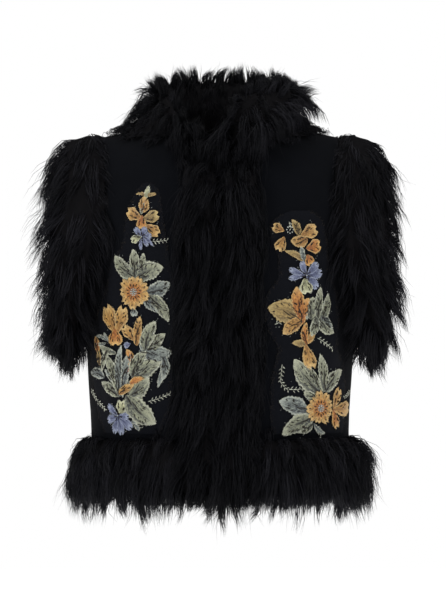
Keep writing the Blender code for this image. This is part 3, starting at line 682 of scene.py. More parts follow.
for seed, (node_name, count) in enumerate(HEM_HAIRS.items()):
    pelt = make_pelt(node_name, f"pelt_{node_name}", 6 * MM)
    places, normals = scatter(node_name, count, not_to_cloth, 6 * MM)
    top = smooth_step((places[:, 2] + 0.480) / 0.02)[:, None]
    level = normals * np.array([1, 1, 0.4])
    start = unit((0.45 + 0.50 * top) * level + (0.90 - 0.60 * top) * DOWN)
    finish = unit(0.03 * level + 1.0 * DOWN)
    length = length_to(places, HEM_DENSE_EDGE, 17 * MM, 62 * MM)
    combed = (places, normals, start, finish, length)
    locks = {"lock_size": 26, "gather": 0.74, "seed": seed}
    hair = grow(f"hair_{node_name}", *combed, thickness=HAIR_RADIUS, **locks)
    finish_fur(node_name, node_name.replace("fur_hem", "hem_fur"), pelt, hair)

# %% [markdown]
# ## The front edges
#
# Two strips meet over the closure. The hair of both falls down and a little to the wearer's
# right, so that it crosses the line between them and no gap shows. Combed away from the
# middle on both sides, it would leave a parting there.

# %% Fur of the front edges
FRONT_EDGE_HAIRS = 4200

for hand, node_name in ((-1, "fur_front_right"), (1, "fur_front_left")):
    pelt = make_pelt(node_name, f"pelt_{node_name}", 5 * MM)
    places, normals = scatter(node_name, FRONT_EDGE_HAIRS, not_to_cloth, 5 * MM)
    side = np.array([hand, 0.0, 0.0])
    outer = smooth_step((np.abs(places[:, 0]) - 0.035) / 0.02)[:, None]
    upper = smooth_step((places[:, 2] + 0.090) / 0.03)[:, None]
    start = unit((0.60 + 0.3 * upper) * normals + 0.80 * (1 - upper) * DOWN + 0.7 * upper * UP)
    drift = 0.26 - 0.10 * outer if hand < 0 else -0.04 - 0.42 * outer
    finish = unit(0.05 * normals + 1.0 * DOWN + drift * side)
    length = length_to(places, HEM_DENSE_EDGE, 20 * MM, 60 * MM)
    combed = (places, normals, start, finish, length)
    locks = {"lock_size": 22, "gather": 0.74, "seed": 5 + hand}
    # painted shade: the strips' hair is painted darker than the hem's
    hair = grow(f"hair_{node_name}", *combed, thickness=HAIR_RADIUS, painted_light=0.45, **locks)
    finish_fur(node_name, node_name.replace("fur_front", "front_edge_fur"), pelt, hair)

# %% [markdown]
# ## The armholes
#
# The widest fur is round the armholes. It stands out from the shoulder like a cap sleeve
# and then falls, longest at the side, with thin tips that show against the background.
# Near the seam it leans the other way, over the cloth, and hides the stitching.

# %% Fur of the armholes
ARMHOLE_HAIRS = 7800
ARMHOLE_SEAM = 0.178
ARMHOLE_FOOT = -0.342


def also_at_foot(points, facing):
    """Denser at the seam. Low down, where the band hangs free, its inner face is furred as well."""
    away = np.linalg.norm(points - nearest_cloth(points), axis=1)
    free = smooth_step((away - 2 * MM) / (5 * MM)) * smooth_step((-0.20 - points[:, 2]) / 0.05)
    seam = smooth_step((10 * MM - away) / (6 * MM))
    return np.maximum(not_to_cloth(points, facing), 1.6 * free) + 1.8 * seam * (points[:, 1] < 0)


for hand, node_name in ((-1, "fur_armhole_right"), (1, "fur_armhole_left")):
    pelt = make_pelt(node_name, f"pelt_{node_name}", 7 * MM, 5 * MM)
    places, normals = scatter(node_name, ARMHOLE_HAIRS, also_at_foot, 7 * MM)
    side = np.array([hand, 0.0, 0.0])
    beyond = smooth_step((np.abs(places[:, 0]) - ARMHOLE_SEAM) / 0.030)[:, None]
    low = smooth_step((-0.20 - places[:, 2]) / 0.08)[:, None]
    inner = smooth_step((0.225 - np.abs(places[:, 0])) / 0.03)[:, None]
    start = unit(0.52 * normals + 0.12 * beyond * side + 0.55 * DOWN)
    lean = 0.50 * beyond - 0.24 - 0.12 * low - 0.95 * low * inner
    finish = unit(0.08 * normals + lean * side + 1.0 * DOWN)
    length = length_to(places, ARMHOLE_FOOT, 22 * MM, 58 * MM)
    combed = (places, normals, start, finish, length)
    locks = {"lock_size": 25, "gather": 0.76, "seed": 9 + hand}
    hair = grow(f"hair_{node_name}", *combed, thickness=HAIR_RADIUS, **locks)
    finish_fur(node_name, node_name.replace("fur_armhole", "armhole_fur"), pelt, hair)

# %% [markdown]
# ## The collar
#
# The collar stands and is furred on both faces. Inside, the hair leans up and in. At the
# top it spikes up in tufts. Outside, it falls over the shoulders, no further than its lower
# edge, and in front it hangs over the upper ends of the front edges.

# %% Roots of the collar's fur
COLLAR_HAIRS = 9600
COLLAR_MIDDLE = (0.0, -0.012)
pelt = make_pelt("fur_collar", "pelt_fur_collar", 4 * MM)


def more_in_front_and_on_top(points, facing):
    crown = smooth_step((facing[:, 2] - 0.2) / 0.4) * smooth_step((points[:, 2] - 0.045) / 0.01)
    sides = smooth_step((np.abs(points[:, 0]) - 0.07) / 0.02) * smooth_step((points[:, 2] - 0.01) / 0.02)
    return not_to_cloth(points, facing) * (
        1 + 1.6 * (points[:, 1] < -0.07) * (points[:, 2] < 0.02) + 2.2 * crown + 0.9 * sides
    )


places, normals = scatter("fur_collar", COLLAR_HAIRS, more_in_front_and_on_top, 6 * MM)
print("roots:", len(places))

# %% How far the collar's fur may fall
def turn_about_neck(points):
    return np.degrees(np.arctan2(points[:, 0] - COLLAR_MIDDLE[0], -(points[:, 1] - COLLAR_MIDDLE[1])))


collar_corners = vertex_array(pelt)
corner_turns = turn_about_neck(collar_corners)
TURNS = np.arange(-180, 181, 12)
LOWER_EDGE = [collar_corners[np.abs(corner_turns - turn) < 12, 2].min(initial=0.03) for turn in TURNS]
above = places[:, 2] - np.interp(turn_about_neck(places), TURNS, LOWER_EDGE)
print("lower edge between", min(LOWER_EDGE).round(3), "and", max(LOWER_EDGE).round(3))

# %% Places on the collar, each as a share from 0 to 1
out = away_from(places, *COLLAR_MIDDLE)
inside = smooth_step(-np.sum(out * normals, axis=1) / 0.5)[:, None]
top = smooth_step((normals[:, 2] - 0.30) / 0.4) * smooth_step((places[:, 2] - 0.030) / 0.02)
top = top[:, None]
turned = np.abs(turn_about_neck(places))
back = smooth_step((turned - 118) / 25)[:, None]
front = (smooth_step((-0.050 - places[:, 1]) / 0.03) * smooth_step((0.02 - places[:, 2]) / 0.03)
         * smooth_step((0.075 - np.abs(places[:, 0])) / 0.03))[:, None]
tidy = smooth_step((places[:, 0] - 0.050) / 0.03)[:, None]
print("hairs on the crown:", int(top.sum()), "and inside:", int(inside.sum()))

# %% Directions, lengths and shades of the collar's fur
start = (1 - inside) * (0.60 * normals + 0.25 * out + 0.25 * top * UP)
start = unit(start + inside * (0.45 * normals + 0.8 * UP))
fall = unit(0.06 * normals + (0.42 - 0.40 * front) * out + 0.95 * DOWN)
spike = unit((0.36 - 0.28 * tidy) * out + 0.66 * UP) * (1 - back)
spike = spike + unit(0.22 * out + 0.10 * SIDEWAYS + 0.80 * UP) * back
sweep = 0.34 * np.sin(np.radians(turn_about_neck(places)) * 6 + 1.0)[:, None] * top
spike = spike + sweep * np.cross(out, UP)
finish = unit((1 - inside) * ((1 - top) * fall + top * spike) + inside * (0.2 * normals + 0.8 * UP))
outer_length = np.clip(above * 0.95 + 12 * MM, 15 * MM, 50 * MM) + 44 * MM * front[:, 0]
peaks = np.maximum(0, np.sin(np.radians(turned) * 7 + 0.6))
tufts = 0.60 + 0.60 * peaks * smooth_step((106 - turned) / 30)
mound = smooth_step((turned - 128) / 30) * (0.75 + 0.25 * np.sin(np.radians(turn_about_neck(places)) * 9))
top_length = (36 - 10 * tidy[:, 0]) * (tufts + 0.42 * mound) * MM
length = (1 - top[:, 0]) * outer_length + top[:, 0] * top_length
length = (1 - inside[:, 0]) * length + inside[:, 0] * 24 * MM
# painted shade: hair in the hollow at the front of the neck is painted darker
hollow_painted_shade = np.exp(-(((places[:, 0] + 0.028) / 0.040) ** 2)) * (places[:, 1] < 0)
# painted light and shade: the wearer's left of the collar is painted lighter, its inside darker
painted_light = 0.60 + 0.35 * smooth_step((places[:, 0] - 0.01) / 0.05)
painted_light = painted_light * (1 - 0.6 * inside[:, 0]) * (1 - 0.7 * hollow_painted_shade)
combed = (places, normals, start, finish, length)
locks = {"lock_size": 34, "gather": 0.74, "seed": 14}
hair = grow("hair_fur_collar", *combed, thickness=HAIR_RADIUS, painted_light=painted_light, **locks)
finish_fur("fur_collar", "collar_fur", pelt, hair)

# %% [markdown]
# ## A map of the fronts
#
# Each front carries an applique: embroidered motifs on a dark net. To place them one by one,
# as one would pin them, it helps to have the cloth's own measure: how far along the cloth
# from the middle of the front, and at what height. Rays find the refined panel once for a
# grid of these places. All that is embroidered is then drawn flat and laid on by this map.

# %% Measure along the cloth
MAP_STEP = 2 * MM
MAP_HEIGHTS = np.arange(-0.462, -0.070, MAP_STEP)
MAP_LENGTHS = np.arange(0.0, 0.246, MAP_STEP)
RAY_START = 0.4


def map_front(node, hand):
    front = tree_of([panels[node]])
    table = np.empty((len(MAP_HEIGHTS), len(MAP_LENGTHS), 3))
    angles = np.linspace(0.5, 89.6, 110)
    for row, height in enumerate(MAP_HEIGHTS):
        line = []
        for angle in np.radians(angles):
            way = Vector((hand * math.sin(angle), -math.cos(angle), 0))
            hit = front.ray_cast(way * RAY_START + Vector((0, 0, height)), -way)[0]
            if hit is not None:
                line.append(tuple(hit))
        line = np.array(line)
        steps = np.linalg.norm(np.diff(line, axis=0), axis=1)
        lengths = np.concatenate([[0], np.cumsum(steps)]) + abs(line[0, 0])
        for axis in range(3):
            table[row, :, axis] = np.interp(MAP_LENGTHS, lengths, line[:, axis])
    along = np.gradient(table, axis=1)
    up = np.gradient(table, axis=0)
    return table, unit(np.cross(along, up) * hand)


MAPS = {-1: map_front("front_right", -1), 1: map_front("front_left", 1)}
print("places on each map:", MAPS[1][0].shape[0] * MAPS[1][0].shape[1])


# %% Lay points on a front
def read_map(table, row, column):
    i = np.clip(row.astype(int), 0, table.shape[0] - 2)
    j = np.clip(column.astype(int), 0, table.shape[1] - 2)
    u, v = (row - i)[:, None], (column - j)[:, None]
    low = table[i, j] * (1 - v) + table[i, j + 1] * v
    high = table[i + 1, j] * (1 - v) + table[i + 1, j + 1] * v
    return low * (1 - u) + high * u


def lay_on(hand, along, height, off):
    """Points of the front at distances along the cloth and heights, lifted off its face."""
    row = (np.asarray(height) - MAP_HEIGHTS[0]) / MAP_STEP
    column = np.asarray(along) / MAP_STEP
    places, normals = MAPS[hand]
    lift = unit(read_map(normals, row, column)) * np.asarray(off)[:, None]
    return read_map(places, row, column) + lift


print("a place on the right front:", lay_on(-1, np.array([0.1]), np.array([-0.2]), np.array([0.0])))

# %% [markdown]
# ## Embroidery threads
#
# Satin stitch is many parallel threads that run from a petal's base to its rim, shaded from
# a deep base to a light rim. A grid's own UV map gives both directions, so one group of
# shader nodes can draw the threads and the shading for every colour. Its light and dark
# mottling is partly random tone and partly painted highlights of the shiny thread.

# %% Short ways to write shader nodes
def node(tree, kind, **values):
    made = tree.nodes.new(kind)
    for key, value in values.items():
        if hasattr(made, key):
            setattr(made, key, value)
        else:
            made.inputs[key].default_value = value
    return made


def maths(tree, operation, first, second=None):
    made = tree.nodes.new("ShaderNodeMath")
    made.operation = operation
    for socket, value in zip(made.inputs, (first, second)):
        if isinstance(value, (int, float)):
            socket.default_value = value
        elif value is not None:
            tree.links.new(value, socket)
    return made.outputs[0]


def blend(tree, factor, first, second):
    made = tree.nodes.new("ShaderNodeMix")
    made.data_type = "RGBA"
    for socket, value in zip((made.inputs[0], made.inputs[6], made.inputs[7]), (factor, first, second)):
        if hasattr(value, "is_output"):
            tree.links.new(value, socket)
        else:
            socket.default_value = value
    return made.outputs[2]


# %% A group that draws satin stitch
satin = bpy.data.node_groups.new("satin_stitch", "ShaderNodeTree")
for socket in ("Deep", "Light", "Rim"):
    satin.interface.new_socket(socket, in_out="INPUT", socket_type="NodeSocketColor")
satin.interface.new_socket("Color", in_out="OUTPUT", socket_type="NodeSocketColor")
satin.interface.new_socket("Height", in_out="OUTPUT", socket_type="NodeSocketFloat")
satin_in = node(satin, "NodeGroupInput")
satin_out = node(satin, "NodeGroupOutput")
satin_uv = node(satin, "ShaderNodeUVMap", uv_map="UVMap")
satin_split = node(satin, "ShaderNodeSeparateXYZ")
satin.links.new(satin_uv.outputs["UV"], satin_split.inputs[0])
across, along = satin_split.outputs["X"], satin_split.outputs["Y"]
stretch = node(satin, "ShaderNodeCombineXYZ")
satin.links.new(maths(satin, "MULTIPLY", across, 9.0), stretch.inputs[0])
satin.links.new(maths(satin, "MULTIPLY", along, 1.6), stretch.inputs[1])
satin_place = node(satin, "ShaderNodeTexCoord")
satin_shift = node(satin, "ShaderNodeVectorMath", operation="ADD")
satin.links.new(stretch.outputs[0], satin_shift.inputs[0])
satin.links.new(satin_place.outputs["Object"], satin_shift.inputs[1])
thread_noise = node(satin, "ShaderNodeTexNoise", Scale=1.0, Detail=4.0, Roughness=0.75)
satin.links.new(satin_shift.outputs[0], thread_noise.inputs["Vector"])
patches = node(satin, "ShaderNodeTexNoise", Scale=330.0, Detail=2.0, Roughness=0.6)
satin.links.new(satin_place.outputs["Object"], patches.inputs["Vector"])
# light and dark mottling of the thread: part random tone, part painted highlights of the shiny thread
mottle_and_painted_glints = maths(satin, "ADD", maths(satin, "SUBTRACT", thread_noise.outputs["Fac"], 0.5),
              maths(satin, "MULTIPLY", maths(satin, "SUBTRACT", patches.outputs["Fac"], 0.5), 0.6))
shading = maths(satin, "ADD", maths(satin, "MULTIPLY", along, 0.55), maths(satin, "MULTIPLY", mottle_and_painted_glints, 5.4))
shading = maths(satin, "ADD", shading, 0.12)
shading = maths(satin, "MINIMUM", maths(satin, "MAXIMUM", shading, 0.0), 1.0)
from_middle = maths(satin, "ABSOLUTE", maths(satin, "SUBTRACT", across, 0.5))
from_middle = maths(satin, "MULTIPLY", from_middle, 2.0)
vein = maths(satin, "SUBTRACT", 1.0, maths(satin, "MULTIPLY", from_middle, 2.4))
vein = maths(satin, "MULTIPLY", maths(satin, "MAXIMUM", vein, 0.0), maths(satin, "SUBTRACT", 1.1, along))
shading = maths(satin, "MULTIPLY", shading, maths(satin, "SUBTRACT", 1.0, vein))
body = blend(satin, shading, satin_in.outputs["Deep"], satin_in.outputs["Light"])
edge = maths(satin, "MAXIMUM", from_middle, maths(satin, "MULTIPLY", along, 0.98))
rim = maths(satin, "MULTIPLY", maths(satin, "POWER", edge, 6.0),
            maths(satin, "ADD", 0.30, thread_noise.outputs["Fac"]))
satin.links.new(blend(satin, rim, body, satin_in.outputs["Rim"]), satin_out.inputs["Color"])
relief = maths(satin, "ADD", thread_noise.outputs["Fac"], patches.outputs["Fac"])
satin.links.new(relief, satin_out.inputs["Height"])
print("satin stitch nodes:", len(satin.nodes))


# %% [markdown]
# ## Thread colours
#
# The photograph shows dull orange, tan, gold, sage, grey and slate blue, each running from a
# dark root to a light rim. One function makes a finish of the satin group for any three
# colours. The fine threads laid on top are plain, so they only get the uneven tone.

# %% A finish of satin thread
def thread_finish(name, deep, light, rim):
    finish, tree, shader = new_finish(name, roughness=0.45, specular=0.35, sheen=0.10)
    group = tree.nodes.new("ShaderNodeGroup")
    group.node_tree = satin
    for socket, colour in (("Deep", deep), ("Light", light), ("Rim", rim)):
        group.inputs[socket].default_value = (*colour, 1)
    tree.links.new(group.outputs["Color"], shader.inputs["Base Color"])
    bump = node(tree, "ShaderNodeBump", Strength=0.6, Distance=0.0004)
    tree.links.new(group.outputs["Height"], bump.inputs["Height"])
    tree.links.new(bump.outputs["Normal"], shader.inputs["Normal"])
    return finish


# %% Colours of the satin threads
THREADS = {
    # deep, light, rim
    "orange": ((0.16, 0.044, 0.008), (0.45, 0.190, 0.036), (0.62, 0.42, 0.16)),
    "tan": ((0.09, 0.055, 0.018), (0.31, 0.212, 0.070), (0.52, 0.41, 0.18)),
    "gold": ((0.15, 0.065, 0.014), (0.42, 0.235, 0.060), (0.60, 0.43, 0.19)),
    "sage": ((0.026, 0.029, 0.028), (0.24, 0.25, 0.165), (0.46, 0.47, 0.35)),
    "grey": ((0.020, 0.025, 0.030), (0.195, 0.220, 0.195), (0.46, 0.49, 0.43)),
    "pale": ((0.12, 0.12, 0.07), (0.42, 0.42, 0.24), (0.54, 0.54, 0.38)),
    "blue": ((0.016, 0.022, 0.060), (0.135, 0.155, 0.250), (0.36, 0.40, 0.50)),
    "pink": ((0.12, 0.03, 0.025), (0.28, 0.10, 0.07), (0.38, 0.20, 0.15)),
}
thread_finishes = {word: thread_finish(f"satin_{word}", *colours) for word, colours in THREADS.items()}
print("satin threads:", ", ".join(thread_finishes))

# %% Colours of the fine threads
dark_thread, tree, shader = new_finish("dark_thread", roughness=0.7, specular=0.15)
tone = add_tone(tree, 900, (0.010, 0.009, 0.008), (0.040, 0.032, 0.026))
tree.links.new(tone.outputs["Color"], shader.inputs["Base Color"])
PALE_TONES = {
    # dark, light
    "green": ((0.30, 0.31, 0.25), (0.66, 0.67, 0.56)),
    "gold": ((0.30, 0.18, 0.06), (0.66, 0.50, 0.26)),
    "blue": ((0.10, 0.12, 0.20), (0.46, 0.50, 0.62)),
}
pale_threads = {}
for word, tones in PALE_TONES.items():
    pale_threads[word], tree, shader = new_finish(f"pale_{word}_thread", roughness=0.5, specular=0.3)
    tone = add_tone(tree, 420, *tones)
    tree.links.new(tone.outputs["Color"], shader.inputs["Base Color"])
silver_thread, tree, shader = new_finish("silver_thread", roughness=0.5, specular=0.4)
tone = add_tone(tree, 900, (0.20, 0.22, 0.21), (0.56, 0.58, 0.53))
tree.links.new(tone.outputs["Color"], shader.inputs["Base Color"])
print("fine threads:", dark_thread.name, silver_thread.name, len(pale_threads), "pale ones")

# %% [markdown]
# ## Petals and leaves
#
# An embroiderer fills each petal from its base to its rim. Here a petal is a flat grid,
# shaped to a leaf or a heart, domed, parted by a midrib, and serrated where stitches end.
# Solidify then gives it the thickness of the stitching, and the map lays it on the front.

# %% Outlines of petals and leaves
BLADE_ACROSS, BLADE_ALONG = 6, 18


def leaf_width(t):
    return np.sin(math.pi * np.clip(t, 0, 1) ** 0.88) ** 0.66


def round_width(t):
    swell = np.clip(t / 0.62, 0, 1)
    close = np.clip((t - 0.62) / 0.40, 0, 1)
    return np.sqrt(1 - (1 - swell) ** 2) * (0.40 + 0.60 * swell) * np.sqrt(1 - close**2)


# shape: outline, depth of the teeth, depth of the notch in the tip, how many waves the tip has
SHAPES = {
    "leaf": (leaf_width, 0.08, 0.0, 0),
    "round": (round_width, 0.05, 0.10, 7),
    "frill": (round_width, 0.16, 0.22, 11),
}
print("share of its full width that a leaf has half way up:", round(float(leaf_width(0.5)), 2))


# %% A place on a blade
def on_blade(base, tip, width, shape, seed, a, t, tooth=0):
    """A place on a blade: a runs from -1 to 1 across it and t from 0 to 1 along it."""
    outline, teeth, notch, waves = SHAPES[shape]
    length = math.hypot(tip[0] - base[0], tip[1] - base[1])
    turn = math.atan2(tip[0] - base[0], tip[1] - base[1])
    bend = (0.22 if shape == "leaf" else 0.06) * math.sin(seed * 1.7)
    uneven = 1 + teeth * tooth + 0.06 * np.sin(t * 15 + 2 * seed)
    half = np.maximum(outline(t), 0.04) * uneven * width / 2
    reach = length * (1 - notch * (1 - np.abs(a)) ** 2 * smooth_step((t - 0.5) / 0.5))
    reach = reach * (1 + 0.05 * np.cos(a * waves) * (t > 0.9) * (waves > 0))
    angle = turn + bend * (t - 0.5) * 2
    side, up = a * half, t * reach
    along = base[0] + side * np.cos(angle) + up * np.sin(angle)
    height = base[1] - side * np.sin(angle) + up * np.cos(angle)
    return along, height


print("the tip of a blade 10 mm long:", on_blade((0, 0), (0, 10), 3, "leaf", 0, 0.0, 1.0))


# %% Draw one blade
def blade(hand, base, tip, width, off, colour, shape="leaf", seed=0):
    """A petal or leaf from its base point to its tip, both given on the front's own map."""
    deselect()
    bpy.ops.mesh.primitive_grid_add(
        x_subdivisions=BLADE_ACROSS, y_subdivisions=BLADE_ALONG, size=1, calc_uvs=True
    )
    made = bpy.context.object
    flat = vertex_array(made)
    a, t = flat[:, 0] * 2, flat[:, 1] + 0.5
    chance = np.random.default_rng(seed)
    tooth = np.where(np.round(t * BLADE_ALONG).astype(int) % 2 == 0, 1, -1)
    rim = np.abs(a) > 0.9
    along, height = on_blade(base, tip, width, shape, seed, a, t, tooth * rim)
    dome = (1 - np.abs(a) ** 2.5) * np.sin(math.pi * np.clip(t, 0.02, 0.98)) ** 0.5
    groove = np.exp(-((a / 0.16) ** 2)) * (t < 0.85)
    rough = 0.07 * MM * chance.normal(size=len(t)) * ~rim
    lift = off + min(0.9 * MM, 0.2 * MM + 0.035 * width) * dome - 0.28 * MM * groove + rough
    set_vertices(made, lay_on(hand, along, height, lift))
    made.data.materials.append(thread_finishes[colour])
    return made


# %% Join blades and give them their thickness
def join(parts, name):
    deselect()
    for each in parts:
        each.select_set(True)
    bpy.context.view_layer.objects.active = parts[0]
    if len(parts) > 1:
        bpy.ops.object.join()
    joined = bpy.context.object
    joined.name = name
    joined.data.name = name
    return joined


def thicken(made, thickness, hand):
    """Thickness added behind a face. The grid faces out on the left front and in on the right."""
    deselect()
    made.select_set(True)
    bpy.context.view_layer.objects.active = made
    solid = made.modifiers.new("thickness", "SOLIDIFY")
    solid.thickness = thickness
    solid.offset = -hand
    bpy.ops.object.modifier_apply(modifier="thickness")
    bpy.ops.object.shade_smooth_by_angle(angle=math.radians(60))
    return made


# %% [markdown]
# ## The plan of the motifs
#
# Each front carries its own spray of flowers, leaves and buds. An embroiderer would prick
# the design through paper. Here each petal or leaf is one row: where its base and its tip
# lie, how wide it is, its shape and its thread. Plain rows were chosen over drawn curves,
# since they can be read, checked and moved by hand.

# %% How far the layers stand off the front
GROUND_TOP = 1.1 * MM
MOTIF_LIFT = 1.0 * MM
LAYER_LIFT = 1.3 * MM
print("a motif's height over the cloth in mm:", (GROUND_TOP + MOTIF_LIFT) / MM)

# %% The motifs of the right front
# every motif: its name, its layer, and its blades. A blade is base along, base height,
# tip along, tip height and width, in millimetres, then its shape and its thread.
MOTIFS = {}
MOTIFS[-1] = (
    ("bud_top", 0, (
        (111, -108, 105, -89, 8, "leaf", "pale"),
        (109, -103, 125, -97, 4, "leaf", "tan"),
        (108, -103, 94, -100, 5, "leaf", "tan"),
    )),
    ("bud_calyx", 0, (
        (116, -127, 109, -105, 17, "leaf", "gold"),
        (116, -130, 115, -113, 6, "leaf", "sage"),
    )),
    ("petals_top", 0, (
        (116, -135, 140, -126, 19, "round", "gold"),
        (115, -137, 90, -131, 18, "round", "tan"),
        (115, -131, 117, -151, 17, "round", "orange"),
        (110, -145, 89, -158, 17, "round", "gold"),
    )),
    ("blue_top", 1, (
        (115, -162, 126, -149, 9, "frill", "blue"),
        (115, -162, 109, -148, 9, "frill", "blue"),
        (115, -162, 100, -160, 9, "frill", "blue"),
        (114, -162, 106, -176, 6, "frill", "blue"),
        (115, -162, 118, -181, 5, "frill", "blue"),
        (116, -162, 132, -168, 12, "round", "pale"),
        (114, -162, 96, -172, 5, "leaf", "blue"),
    )),
    ("leaf_crown", 0, (
        (128, -220, 167, -196, 22, "leaf", "sage"),
        (128, -222, 85, -201, 28, "leaf", "sage"),
        (122, -212, 108, -188, 11, "leaf", "sage"),
        (128, -222, 127, -180, 18, "leaf", "sage"),
    )),
    ("leaf_inner_high", 0, (
        (108, -244, 71, -232, 23, "leaf", "grey"),
    )),
    ("leaf_inner_low", 0, (
        (115, -247, 87, -272, 17, "leaf", "grey"),
        (109, -247, 67, -276, 20, "leaf", "sage"),
    )),
    ("ochre_pansy", 0, (
        (160, -302, 181, -264, 26, "round", "gold"),
        (158, -302, 145, -265, 23, "round", "gold"),
        (161, -295, 161, -319, 27, "round", "orange"),
    )),
    ("ochre_petal", 0, (
        (128, -313, 145, -292, 17, "round", "gold"),
        (124, -320, 122, -277, 15, "leaf", "gold"),
    )),
    ("leaf_inner_maple", 0, (
        (110, -328, 104, -282, 22, "leaf", "sage"),
        (109, -328, 81, -301, 17, "leaf", "sage"),
        (107, -326, 83, -317, 14, "leaf", "sage"),
        (112, -330, 117, -309, 10, "leaf", "grey"),
    )),
    ("bud_side_high", 0, (
        (200, -331, 204, -306, 15, "leaf", "orange"),
    )),
    ("bud_side_low", 0, (
        (194, -349, 199, -327, 13, "leaf", "tan"),
    )),
    ("leaf_fall_outer", 0, (
        (159, -331, 195, -323, 9, "leaf", "sage"),
        (173, -327, 195, -354, 12, "leaf", "sage"),
    )),
    ("leaf_fall_mid", 0, (
        (155, -395, 174, -323, 17, "leaf", "sage"),
        (151, -394, 161, -320, 15, "leaf", "grey"),
        (150, -393, 143, -328, 19, "leaf", "grey"),
        (162, -376, 178, -352, 12, "leaf", "grey"),
    )),
    ("leaf_broad", 0, (
        (83, -334, 76, -369, 14, "leaf", "grey"),
        (79, -347, 92, -380, 8, "leaf", "grey"),
        (120, -326, 71, -340, 27, "leaf", "grey"),
        (133, -366, 89, -338, 29, "leaf", "sage"),
        (131, -366, 116, -324, 22, "leaf", "sage"),
    )),
    ("leaf_side", 0, (
        (184, -367, 220, -353, 16, "leaf", "grey"),
        (156, -394, 189, -371, 16, "leaf", "sage"),
    )),
    ("orange_fleck", 1, (
        (154, -391, 130, -374, 12, "leaf", "gold"),
        (135, -376, 114, -363, 10, "leaf", "orange"),
    )),
    ("leaf_low", 0, (
        (136, -394, 105, -366, 29, "leaf", "sage"),
    )),
    ("leaf_foot", 0, (
        (142, -392, 100, -439, 34, "leaf", "sage"),
    )),
    ("blue_foot", 0, (
        (157, -422, 177, -407, 10, "frill", "blue"),
        (157, -423, 179, -429, 12, "frill", "blue"),
        (157, -423, 166, -448, 12, "frill", "blue"),
        (157, -423, 149, -450, 12, "frill", "blue"),
        (157, -423, 132, -440, 14, "frill", "blue"),
        (157, -422, 138, -424, 11, "frill", "blue"),
        (151, -423, 150, -400, 20, "round", "pale"),
    )),
    ("stems", 0, (
        (133, -348, 136, -324, 13, "leaf", "orange"),
        (142, -360, 134, -343, 7, "leaf", "pink"),
        (129, -366, 120, -330, 12, "leaf", "grey"),
        (134, -317, 145, -320, 9, "round", "blue"),
        (177, -313, 202, -301, 5, "leaf", "grey"),
        (174, -314, 185, -302, 5, "leaf", "grey"),
        (179, -316, 204, -321, 5, "leaf", "grey"),
        (155, -396, 172, -356, 4, "leaf", "grey"),
        (129, -264, 128, -277, 12, "round", "grey"),
        (129, -434, 119, -442, 6, "leaf", "grey"),
        (134, -430, 125, -432, 5, "leaf", "grey"),
        (141, -366, 154, -393, 9, "leaf", "grey"),
        (128, -367, 138, -385, 10, "leaf", "sage"),
    )),
)
print("motifs on the right front:", len(MOTIFS[-1]))

# %% The motifs of the left front
MOTIFS[1] = (
    ("petal_inner", 0, (
        (94, -154, 77, -147, 15, "round", "gold"),
    )),
    ("petal_inner_low", 0, (
        (94, -162, 85, -182, 18, "round", "gold"),
    )),
    ("petals_top", 0, (
        (116, -160, 111, -136, 12, "leaf", "tan"),
        (120, -160, 146, -150, 22, "round", "gold"),
        (131, -165, 105, -173, 18, "leaf", "gold"),
        (126, -198, 98, -178, 9, "leaf", "tan"),
        (129, -179, 153, -174, 22, "round", "orange"),
        (130, -188, 137, -202, 17, "round", "orange"),
        (126, -197, 119, -175, 8, "leaf", "grey"),
    )),
    ("blue_bloom", 0, (
        (129, -218, 120, -198, 10, "frill", "blue"),
        (129, -218, 149, -200, 12, "frill", "blue"),
        (129, -218, 157, -215, 14, "frill", "blue"),
        (129, -218, 149, -236, 14, "frill", "blue"),
        (128, -218, 101, -210, 9, "frill", "blue"),
        (128, -218, 101, -222, 8, "frill", "blue"),
        (126, -222, 130, -244, 23, "round", "pale"),
    )),
    ("ochre_maple", 0, (
        (123, -284, 89, -297, 21, "leaf", "gold"),
        (125, -282, 72, -258, 35, "leaf", "tan"),
        (121, -290, 125, -249, 20, "leaf", "orange"),
        (122, -282, 110, -235, 23, "leaf", "orange"),
    )),
    ("leaf_bud", 0, (
        (137, -282, 138, -249, 19, "leaf", "sage"),
    )),
    ("leaf_tall", 0, (
        (149, -282, 152, -235, 15, "leaf", "sage"),
        (152, -283, 176, -249, 16, "leaf", "sage"),
    )),
    ("leaf_spur", 0, (
        (150, -280, 174, -306, 20, "leaf", "sage"),
        (145, -278, 142, -307, 16, "leaf", "sage"),
        (154, -278, 177, -294, 12, "leaf", "grey"),
    )),
    ("ochre_sprig", 0, (
        (130, -319, 122, -287, 12, "leaf", "orange"),
        (129, -318, 107, -314, 10, "leaf", "tan"),
        (129, -317, 147, -295, 10, "leaf", "gold"),
    )),
    ("ochre_drop", 0, (
        (127, -317, 137, -353, 22, "round", "gold"),
    )),
    ("leaf_crown", 0, (
        (157, -389, 103, -347, 31, "leaf", "sage"),
        (162, -388, 194, -351, 23, "leaf", "sage"),
        (150, -384, 132, -344, 12, "leaf", "sage"),
        (159, -388, 158, -332, 18, "leaf", "sage"),
        (147, -394, 124, -392, 14, "leaf", "sage"),
    )),
    ("ochre_pansy", 0, (
        (180, -413, 195, -384, 19, "round", "gold"),
        (179, -413, 226, -414, 23, "round", "gold"),
        (179, -413, 190, -440, 17, "round", "orange"),
    )),
    ("leaf_inner_high", 0, (
        (131, -416, 88, -396, 26, "leaf", "grey"),
    )),
    ("leaf_inner_low", 0, (
        (140, -433, 115, -448, 15, "leaf", "sage"),
        (143, -425, 88, -441, 25, "leaf", "sage"),
    )),
    ("stems", 0, (
        (145, -436, 160, -452, 7, "leaf", "grey"),
        (143, -433, 151, -448, 5, "leaf", "grey"),
        (135, -423, 120, -435, 8, "leaf", "grey"),
        (125, -265, 129, -282, 6, "leaf", "grey"),
        (138, -284, 155, -288, 5, "leaf", "grey"),
    )),
)
print("motifs on the left front:", len(MOTIFS[1]))

# %% The large blooms, and a place turned from another
BLOOMS = {
    # along, height and reach of the petals in millimetres, turn of the first in degrees
    -1: (128, -242, 23.5, 12),
    1: (153, -411, 23.0, 30),
}


